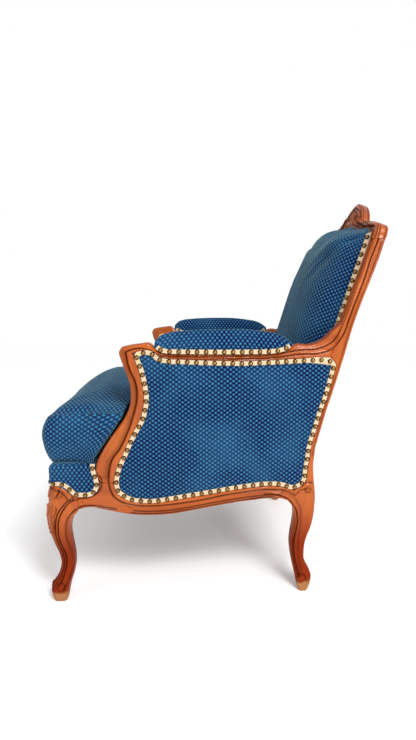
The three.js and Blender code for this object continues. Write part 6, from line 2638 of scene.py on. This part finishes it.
@dataclass
class Seat:
    """The sprung platform with its border, and the loose cushion on it.

    Attributes:
        proportions: the chair's sizes.
        deck_height: top of the platform.
        seam_height: the cushion's upper seam.
        deck_roll: how round the platform's edge is.
        skirt: how far in from the seat's plan the border's foot is folded under.
        face: how far in its face lies.
        crown: how far the cushion rises above it.
        proud: how far it stands out in front of the border.
        draw_in: how far its boxing draws in at the upper seam.
        fall: how far its front corners hang.
        gimp: width of the braid.
        front: depth share of the border's front edge.
        deck_back: depth share of the platform's back edge.
        cushion_back: depth share of the cushion's.
        piping: how deep the cloth is drawn in beside the cushion's seam.
        hollow: how deep it sinks a little farther in, at its sides.
        channel: how deep it dips behind its front edge.
        power: how flat its crown is at the sides, and how much flatter to front and back.
    """

    proportions: Proportions
    deck_height: float
    seam_height: float = 0.4654
    deck_roll: float = 0.012
    skirt: float = 0.009
    face: float = 0.001
    crown: float = 0.045
    proud: float = 0.017
    draw_in: float = 0.0145
    fall: float = 0.016
    gimp: float = 0.011
    front: float = 0.006
    deck_back: float = 0.93
    cushion_back: float = 0.8465
    piping: float = 0.0024
    hollow: float = 0.0045
    channel: float = 0.007
    power: tuple[float, float] = (4.0, 4.0)

    @property
    def deck_plan(self) -> SeatPlan:
        """The platform's plan.

        Returns:
            The plan.
        """
        sizes = self.proportions
        stops = tuple(float(sizes.run(share)) for share in SKIRT[1:, 0])
        return SeatPlan(sizes, float(sizes.run(self.front)), 0.015, float(sizes.run(self.deck_back)), stops)

    @property
    def cushion_plan(self) -> SeatPlan:
        """The cushion's plan.

        Returns:
            The plan.
        """
        sizes = self.proportions
        stops = tuple(float(sizes.run(share)) for share in (0.1, 0.14))
        front = float(sizes.run(self.front)) - self.proud
        return SeatPlan(sizes, front, 0.030, float(sizes.run(self.cushion_back)), stops, margin=0.003)

    def border_low(self) -> Array:
        """Height of the border's lower edge at each point of the plan's left half, up to the ear.

        Returns:
            The heights.
        """
        rise = self.proportions.rise
        stops = SKIRT[1:, 1]
        return np.concatenate([
            [rise(stops[-1])], rise(stops[::-1]), np.full(5, rise(SKIRT[0, 1])), rise(stops), [rise(1.105)]
        ])

    def wrap(self, run: Array, height: Array, drawn_in: Array) -> Array:
        """Points on the border's face.

        Args:
            run: distance round the seat from the middle of its front.
            height: their heights.
            drawn_in: how far inside the seat's plan.

        Returns:
            The points in the row frame.
        """
        sizes, plan = self.proportions, self.deck_plan
        bend = plan.corner * math.pi / 2
        whole = sizes.outer_face(plan.front + plan.corner, height)
        straight = whole - drawn_in - plan.corner
        turn = np.clip((run - straight) / bend, 0.0, 1.0) * math.pi / 2
        beyond = np.clip(run - straight - bend, 0.0, None)
        y = plan.front + drawn_in + plan.corner * (1 - np.cos(turn)) + beyond
        taper = (whole - sizes.outer_face(y, height)) * (beyond > 0)
        return sizes.level_place(np.minimum(run, straight) + plan.corner * np.sin(turn) - taper, y, height)

    def band(self) -> tuple[Array, Array]:
        """The two edges of the platform's braid, from the right ear round the front to the left.

        Returns:
            The lower and the upper edge.
        """
        sizes, plan = self.proportions, self.deck_plan
        corner = float(sizes.outer_face(plan.front + plan.corner, 0.29)) - plan.corner * (1 - math.pi / 4)
        level = BRAID_EDGE[:7][::-1] * [-1.0, 1.0]
        path = np.vstack([[[-corner, level[0, 1]], [-corner / 2, level[0, 1]]], level, BRAID_EDGE[1:]])
        path = spline(path, 190)
        way = np.gradient(path, axis=0)
        way /= np.linalg.norm(way, axis=1, keepdims=True)
        upper = path + self.gimp * np.stack([-way[:, 1], way[:, 0]], axis=1)
        upper[:, 0] = np.maximum(upper[:, 0], -corner)
        sunk = self.face - sizes.clearance + 0.0022 * bell(path[:, 0], 0.0, 0.03)
        halves = [self.wrap(edge[:, 0] + corner, edge[:, 1], sunk) for edge in (path, upper)]
        low, high = (np.vstack([half[1:][::-1] * [-1.0, 1.0, 1.0], half]) for half in halves)
        return low, high

    def sewn(self, points: Array, row: int, seam: int, around: Optional[Array] = None) -> Skin:
        """A skin of two panels of cloth: one round its sides, measured along a row and upwards, and a flat top.

        Args:
            points: rings of plain coordinates.
            row: the ring that the side's cloth is measured along.
            seam: the ring where the top starts.
            around: the lengths along that ring, where they were measured before.

        Returns:
            The skin.
        """
        if around is None:
            around = lengths(np.vstack([points[row], points[row][:1]]))
        height = np.concatenate([points[..., 2], points[:, :1, 2]], axis=1)
        weave = np.stack(np.broadcast_arrays(around[None, :], height), axis=-1)
        place = self.proportions.level_place(points[..., 0], points[..., 1], points[..., 2])
        return Skin(place, poled=True, weave=weave, upper_weave=points[..., :2], seam=seam)

    def deck(self) -> Skin:
        """The platform in one cloth: border from its lower edge up, over the round edge and flat on.

        Returns:
            The platform's skin.
        """
        sizes = self.proportions
        base = float(sizes.rise(RAIL_TOP)) + 0.0018
        low = self.border_low()
        lows = np.full(len(self.deck_plan.half(base)), base)
        lows[: len(low)] = low
        lows = np.concatenate([lows, [base], lows[1:][::-1]]) + sizes.clearance
        edge = self.deck_height - self.deck_roll

        def plan_at(heights: Array, drawn_in: float) -> Array:
            """The plan with each of its points read at a height of its own."""
            return np.array([self.deck_plan.whole(float(z), drawn_in)[i] for i, z in enumerate(heights)])

        rings = []
        for share in np.linspace(0.0, 1.0, 16):
            heights = lows + (edge - lows) * share
            rings.append(np.column_stack([plan_at(heights, self.face), heights]))
        inner = plan_at(lows, self.skirt)
        start = [np.column_stack([inner, np.full(len(inner), base)]), np.column_stack([inner, lows])]
        for angle in np.linspace(0.0, math.pi / 2, 7)[1:]:
            drawn = self.face + self.deck_roll * (1 - math.cos(angle))
            plan = self.deck_plan.whole(self.deck_height, drawn)
            rings.append(np.column_stack([plan, np.full(len(plan), edge + self.deck_roll * math.sin(angle))]))
        dense = resampled([*start, *rings], 460)
        flat = dense[-1][:, :2]
        middle = np.array([0.0, 0.85 * self.deck_plan.support_front(self.deck_height)])
        tops = [
            np.column_stack([flat + (middle - flat) * share, np.full(len(flat), self.deck_height)])
            for share in np.linspace(0.0, 1.0, 12)[1:-1]
        ]
        points = np.concatenate([dense, np.stack(tops)])
        return self.sewn(points, 10, len(dense) - 4)

    def cushion(self) -> Skin:
        """The loose cushion: full boxing, two sewn seams and a crown with two soft lobes.

        Returns:
            The cushion's skin.
        """
        sizes, plan = self.proportions, self.cushion_plan
        base = self.deck_height + sizes.clearance
        boxing = self.seam_height - base
        profile = np.array([
            [0, 1.5], [0.06, 1.08], [0.19, 0.6], [0.41, 0.17], [0.6, 0.0], [0.74, 0.1], [0.84, 0.32], [0.93, 0.66],
            [1.0, 1.0],
        ])
        share = np.linspace(0.0, 1.0, 30)
        drawn = spline_at(profile, share)[:, 0] * self.draw_in
        sides = []
        for up, inwards in zip(share, drawn):
            z = base + boxing * up
            plain, ear = plan.whole(z), plan.support_front(z)
            ring = inset(plain, float(inwards) * (1.0 - 0.75 * smoothstep(plain[:, 1], ear - 0.06, ear - 0.01)))
            sides.append(np.column_stack([ring, np.full(len(ring), z)]))
        dense = resampled(sides, 520)
        seam = dense[-1][:, :2]
        middle = np.array([0.0, (plan.front + plan.back) / 2])
        way = seam - middle
        reach = np.linalg.norm(way, axis=1)
        unit = way / reach[:, None]
        power = self.power[0] + self.power[1] * np.abs(unit[:, 1])
        tops = []
        for share_in in np.linspace(0.0, 1.0, 46)[1:-1] ** 1.35:
            circle = unit * (middle[1] - plan.front) * (1 - share_in)
            ring = middle + way * (1 - share_in) * (1 - min(2 * share_in, 1)) + circle * min(2 * share_in, 1)
            high = self.crown * (1 - (1 - share_in) ** power)
            high -= self.piping * bell(share_in * reach, 0.009, 0.005)
            high -= self.hollow * bell(share_in * reach, 0.040, 0.014) * (1 - np.abs(unit[:, 1]))
            tops.append(np.column_stack([ring, self.seam_height + high]))
        points = np.concatenate([dense, np.stack(tops)])
        around = lengths(np.vstack([points[15], points[15][:1]]))
        x, y, z = np.moveaxis(points, -1, 0)
        above = smoothstep(z, self.seam_height + 0.01, self.seam_height + 0.03)
        hang = np.exp(-(y - plan.front) / 0.05) * (0.15 + 0.85 * smoothstep(np.abs(x), 0.08, 0.26))
        up = np.clip((z - base) / boxing, 0.0, 1.0) ** 1.5
        points[..., 2] = z - self.channel * bell(y, 0.085, 0.018) * above - self.fall * hang * up
        return self.sewn(points, 15, len(dense) - 1, around)

    def tacked(self, points: Array) -> Array:
        """Whether points of the cushion rest on the platform or are pressed between the arms.

        Args:
            points: the points, in the row frame.

        Returns:
            True for each point that is held.
        """
        sizes, plan = self.proportions, self.cushion_plan
        x, y, z = points.T
        depth = y + sizes.offset
        inner = sizes.outer_face(depth, z) - plan.margin - plan.pad_face - 0.005
        between_arms = (depth > plan.support_front(self.seam_height) - 0.02) & (np.abs(x) > inner)
        behind = depth > plan.back - 0.006
        return (z < self.deck_height + 0.005) | ((between_arms | behind) & (z < self.seam_height + 0.004))

    def dress(self, maker: Maker, trim: Trim, flat: bpy.types.Material, upright: bpy.types.Material) -> None:
        """Makes the platform, its braid and the cushion.

        Args:
            maker: makes the pieces.
            trim: lays the braid.
            flat: cloth with its ovals level.
            upright: cloth with its ovals upright.
        """
        maker.cover("platform_cloth", self.deck(), upright, "seat_deck")
        maker.cover(
            "loose_cushion_cloth", self.cushion(), flat, "seat_cushion", stuff=Stuffing(self.tacked).plump,
            body="loose_cushion",
        )
        placed = self.band()
        along = np.gradient(placed[0], axis=0)
        out = np.cross(placed[1] - placed[0], along)
        out *= np.sign(np.sum(out * (placed[0] - np.array([0.0, 0.0, 0.3])), axis=1, keepdims=True))
        trim.lay("platform", placed[0], placed[1], out, "deck_gimp", False)


@dataclass
class Stuffing:
    """Fills sewn pieces by cloth simulation.

    A voxel copy of the piece is blown up from inside with its tacked parts held, and carries the piece's own
    points with it, so that seams and weave stay where they are sewn.

    Attributes:
        tacked: says of points whether they are tacked down or pressed against something.
        voxel: grid of the copy.
        smaller: how far the copy is drawn in before it swells.
        pressure: inside the copy.
        steps: of the simulation.
        cap: how far a point may move.
        share: how much of the movement the sewn piece takes.
    """

    tacked: Callable[[Array], Array]
    voxel: float = 0.006
    smaller: float = 0.002
    pressure: float = 4.0
    steps: int = 20
    cap: float = 0.022
    share: float = 0.6

    def bake(self, piece: bpy.types.Object) -> None:
        """Applies an object's modifiers to its mesh.

        Args:
            piece: the object.
        """
        graph = bpy.context.evaluated_depsgraph_get()
        data = bpy.data.meshes.new_from_object(
            piece.evaluated_get(graph), preserve_all_data_layers=True, depsgraph=graph
        )
        piece.modifiers.clear()
        piece.data = data

    def read(self, data: bpy.types.Mesh) -> Array:
        """A mesh's points.

        Args:
            data: the mesh.

        Returns:
            The points.
        """
        points = np.empty(len(data.vertices) * 3)
        data.vertices.foreach_get("co", points)
        return points.reshape(-1, 3)

    def swell(self, shape: bpy.types.Object, held: Array) -> Array:
        """Runs the cloth with pressure and no gravity.

        Args:
            shape: the voxel copy, at its start.
            held: which of its points are tacked down.

        Returns:
            Its points at the end.
        """
        group = shape.vertex_groups.new(name="held")
        group.add(np.flatnonzero(held).tolist(), 1.0, "REPLACE")
        cloth = shape.modifiers.new("stuffing", "CLOTH")
        cloth.settings.vertex_group_mass = group.name
        cloth.settings.use_pressure = True
        cloth.settings.uniform_pressure_force = self.pressure
        cloth.settings.effector_weights.gravity = 0.0
        cloth.point_cache.frame_start, cloth.point_cache.frame_end = 1, self.steps
        for step in range(1, self.steps + 1):
            bpy.context.scene.frame_set(step)
        graph = bpy.context.evaluated_depsgraph_get()
        points = self.read(shape.evaluated_get(graph).data)
        shape.modifiers.clear()
        bpy.context.scene.frame_set(1)
        return points

    def plump(self, piece: bpy.types.Object) -> None:
        """Args:
            piece: the piece, in place.
        """
        shape = linked(f"{piece.name}_stuffing", piece.data.copy())
        grid = shape.modifiers.new("grid", "REMESH")
        grid.mode, grid.voxel_size = "VOXEL", self.voxel
        self.bake(shape)
        binding = piece.modifiers.new("stuffing", "SURFACE_DEFORM")
        binding.target = shape
        with bpy.context.temp_override(object=piece, active_object=piece, selected_objects=[piece]):
            bpy.ops.object.surfacedeform_bind(modifier=binding.name)
        binding.show_viewport = False
        rest = self.read(shape.data)
        normals = np.empty(rest.size)
        shape.data.vertex_normals.foreach_get("vector", normals)
        held = self.tacked(rest)
        start = rest - normals.reshape(-1, 3) * self.smaller * ~held[:, None]
        shape.data.vertices.foreach_set("co", start.ravel())
        moved = self.swell(shape, held) - rest
        far = np.linalg.norm(moved, axis=1)
        moved *= self.share * np.minimum(1.0, self.cap / np.maximum(far, 1e-9))[:, None]
        shape.data.vertices.foreach_set("co", (rest + moved).ravel())
        shape.data.update()
        binding.show_viewport = True
        log.info(
            "%s: bound %s, %d points swollen, %.1f mm at most, %.1f mm in the middle of them", piece.name,
            binding.is_bound, int(np.sum(~held)), far.max() * 1000, float(np.median(far[~held])) * 1000,
        )
        self.bake(piece)
        bpy.data.objects.remove(shape)


@dataclass(frozen=True)
class Insides:
    """The inner pieces, which keep their CAD meshes and get finishes of their own.

    Attributes:
        beech: the lower back rail and the corner blocks.
        webbing: both nets of straps.
        hessian: the sheet over the springs.
        dust: the cover under the seat.
        wire: the springs.
    """

    beech: PlainBeech = PlainBeech()
    webbing: Sackcloth = Sackcloth("jute_webbing", (0.50, 0.36, 0.20), (0.20, 0.12, 0.06), 380.0)
    hessian: Sackcloth = Sackcloth("hessian", (0.56, 0.42, 0.25), (0.24, 0.15, 0.08), 520.0)
    dust: Sackcloth = Sackcloth("dust_cloth", (0.035, 0.033, 0.036), (0.008, 0.008, 0.009), 700.0)
    wire: SpringWire = SpringWire()

    def dress(self) -> None:
        """Gives every inner node its material."""
        finishes = (
            (self.beech, ("lower_back_rail", "front_corner_block", "rear_corner_block")),
            (self.webbing, ("back_webbing", "seat_webbing")), (self.hessian, ("spring_hessian",)),
            (self.dust, ("dust_cover",)), (self.wire, ("seat_spring",)),
        )
        for finish, starts in finishes:
            material = finish.build()
            for name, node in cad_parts.items():
                if name.startswith(starts):
                    for piece in ([node] if isinstance(node, bpy.types.Object) else node):
                        piece.data.materials.clear()
                        piece.data.materials.append(material)


@dataclass
class Studio:
    """Pale floor, soft light and the photograph's point of view.

    Attributes:
        distance: of the camera, out of the chair's left side.
        aside: how far it stands in front of the chair's middle, if below 0.
        height: of the camera.
        pitch: how far it looks down, in degrees.
        yaw: how far it turns aside, in degrees.
        ambient: how bright the surroundings light the chair; the camera sees them white.
        sun: strength of the soft sun.
        softness: how wide the sun is, in degrees.
        lens: the camera's focal length in millimetres, on a sensor 36 wide.
    """

    distance: float = 1.465
    aside: float = -0.0166
    height: float = 0.735
    pitch: float = 8.46
    yaw: float = -0.44
    ambient: float = 0.60
    sun: float = 1.5
    softness: float = 28.0
    lens: float = 24.32

    def floor(self) -> None:
        """A wide pale floor."""
        size = 6.0
        data = bpy.data.meshes.new("studio_floor")
        data.from_pydata([(-size, -size, 0), (size, -size, 0), (size, size, 0), (-size, size, 0)], [], [(0, 1, 2, 3)])
        data.materials.append(StudioPaper().build())
        floor = linked("studio_floor", data)

    def lamp(self, name: str, place: Sequence[float], power: float, size: float) -> None:
        """A square soft box that faces the chair.

        Args:
            name: the lamp's name.
            place: where it stands.
            power: watts.
            size: its side.
        """
        data = bpy.data.lights.new(name, "AREA")
        data.energy, data.size = power, size
        lamp = linked(name, data)
        lamp.location = place
        lamp.rotation_euler = (Vector((0, 0, 0.5)) - Vector(place)).to_track_quat("-Z", "Y").to_euler()

    def light(self) -> None:
        """White surroundings, a soft sun from above the camera's right, a window behind it and a low fill."""
        world = bpy.data.worlds.new("studio")
        world.use_nodes = True
        tree = world.node_tree
        back = tree.nodes["Background"]
        back.inputs["Color"].default_value = (1, 1, 1, 1)
        seen = tree.nodes.new("ShaderNodeLightPath")
        share = tree.nodes.new("ShaderNodeMapRange")
        share.inputs["To Min"].default_value, share.inputs["To Max"].default_value = self.ambient, 1.0
        tree.links.new(seen.outputs["Is Camera Ray"], share.inputs["Value"])
        tree.links.new(share.outputs["Result"], back.inputs["Strength"])
        bpy.context.scene.world = world
        data = bpy.data.lights.new("sun", "SUN")
        data.energy, data.angle = self.sun, math.radians(self.softness)
        linked("sun", data).rotation_euler = Vector((-1.0, -0.62, -1.35)).to_track_quat("-Z", "Y").to_euler()
        self.lamp("key", (1.7, 0.5, 2.1), 14.0, 0.5)
        self.lamp("window", (2.2, 1.15, 0.9), 16.0, 0.5)
        self.lamp("fill", (1.6, -2.2, 0.9), 9.0, 1.2)
        bpy.context.scene.view_settings.view_transform = "Standard"

    def camera(self) -> None:
        """Stands the camera where the photograph was taken."""
        data = bpy.data.cameras.new("camera")
        data.lens, data.sensor_width, data.sensor_fit = self.lens, 36.0, "AUTO"
        camera = linked("camera", data)
        camera.location = (self.distance, self.aside, self.height)
        pitch, yaw = math.radians(self.pitch), math.radians(self.yaw)
        way = Vector((-math.cos(pitch) * math.cos(yaw), math.cos(pitch) * math.sin(yaw), -math.sin(pitch)))
        camera.rotation_euler = way.to_track_quat("-Z", "Y").to_euler()
        bpy.context.scene.camera = camera

    def build(self) -> None:
        """Floor, lights and camera."""
        self.floor()
        self.light()
        self.camera()


def build_frame(sizes: Proportions, maker: Maker, openings: Openings) -> None:
    """Makes the wooden pieces that show.

    Args:
        sizes: the chair's proportions.
        maker: makes the pieces.
        openings: the outlines the coverings are let in at.
    """
    upright = StainedBeech("stained_beech_upright", Grain.UPRIGHT).build()
    along = StainedBeech("stained_beech_along", Grain.ALONG).build()
    across = StainedBeech("stained_beech_across", Grain.ACROSS).build()
    carving = SideCarving(sizes).carving()
    side = SideFrame(sizes)
    opening = resampled([openings.side()], 420)[0]
    pieces = [
        ("front_leg", FrontLeg(sizes).build(carving), upright),
        ("rear_post", RearPost(sizes).build(carving, opening), upright),
        ("side_rail", side.rail(carving), along), ("arm_support", side.support(carving), upright),
        ("arm", side.arm(carving), along),
    ]
    for name, skin, finish in pieces:
        for hand in ("left", "right"):
            piece = maker.mesh(f"carved_{name}_{hand}", skin, mirror=hand == "right")
            maker.dress(piece, finish, "frame_wood", [f"{name}_{hand}"])
    rails = CrossRails(sizes)
    for name, skin in (("front_rail", rails.front()), ("rear_rail", rails.rear()), ("crest_rail", rails.crest())):
        maker.dress(maker.mesh(f"carved_{name}", skin), across, "frame_wood", [name])


def main() -> None:
    """Builds the dressed chair and its studio."""
    logging.basicConfig(level=logging.INFO, format="%(message)s")
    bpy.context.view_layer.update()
    sizes = Proportions()
    maker = Maker()
    platform_rise, pad_above = 0.047, 0.0076
    deck_height = float(sizes.rise(RAIL_TOP)) + platform_rise
    openings = Openings(sizes, deck_height + pad_above)
    build_frame(sizes, maker, openings)
    flat = BlueCloth("blue_cloth_level").build()
    upright = BlueCloth("blue_cloth_upright", Lie.UP).build()
    trim = Trim(maker, CreamBraid().build(), AntiqueBrass().build())
    for mirror in (False, True):
        SideCoverings(sizes, openings).dress(maker, trim, flat, upright, mirror)
    BackCoverings(sizes, openings).dress(maker, trim, flat)
    Seat(sizes, deck_height).dress(maker, trim, flat, upright)
    Insides().dress()
    Studio().build()
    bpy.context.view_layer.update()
    log.info("%d pieces made", maker.count)


if __name__ == "__main__":
    main()
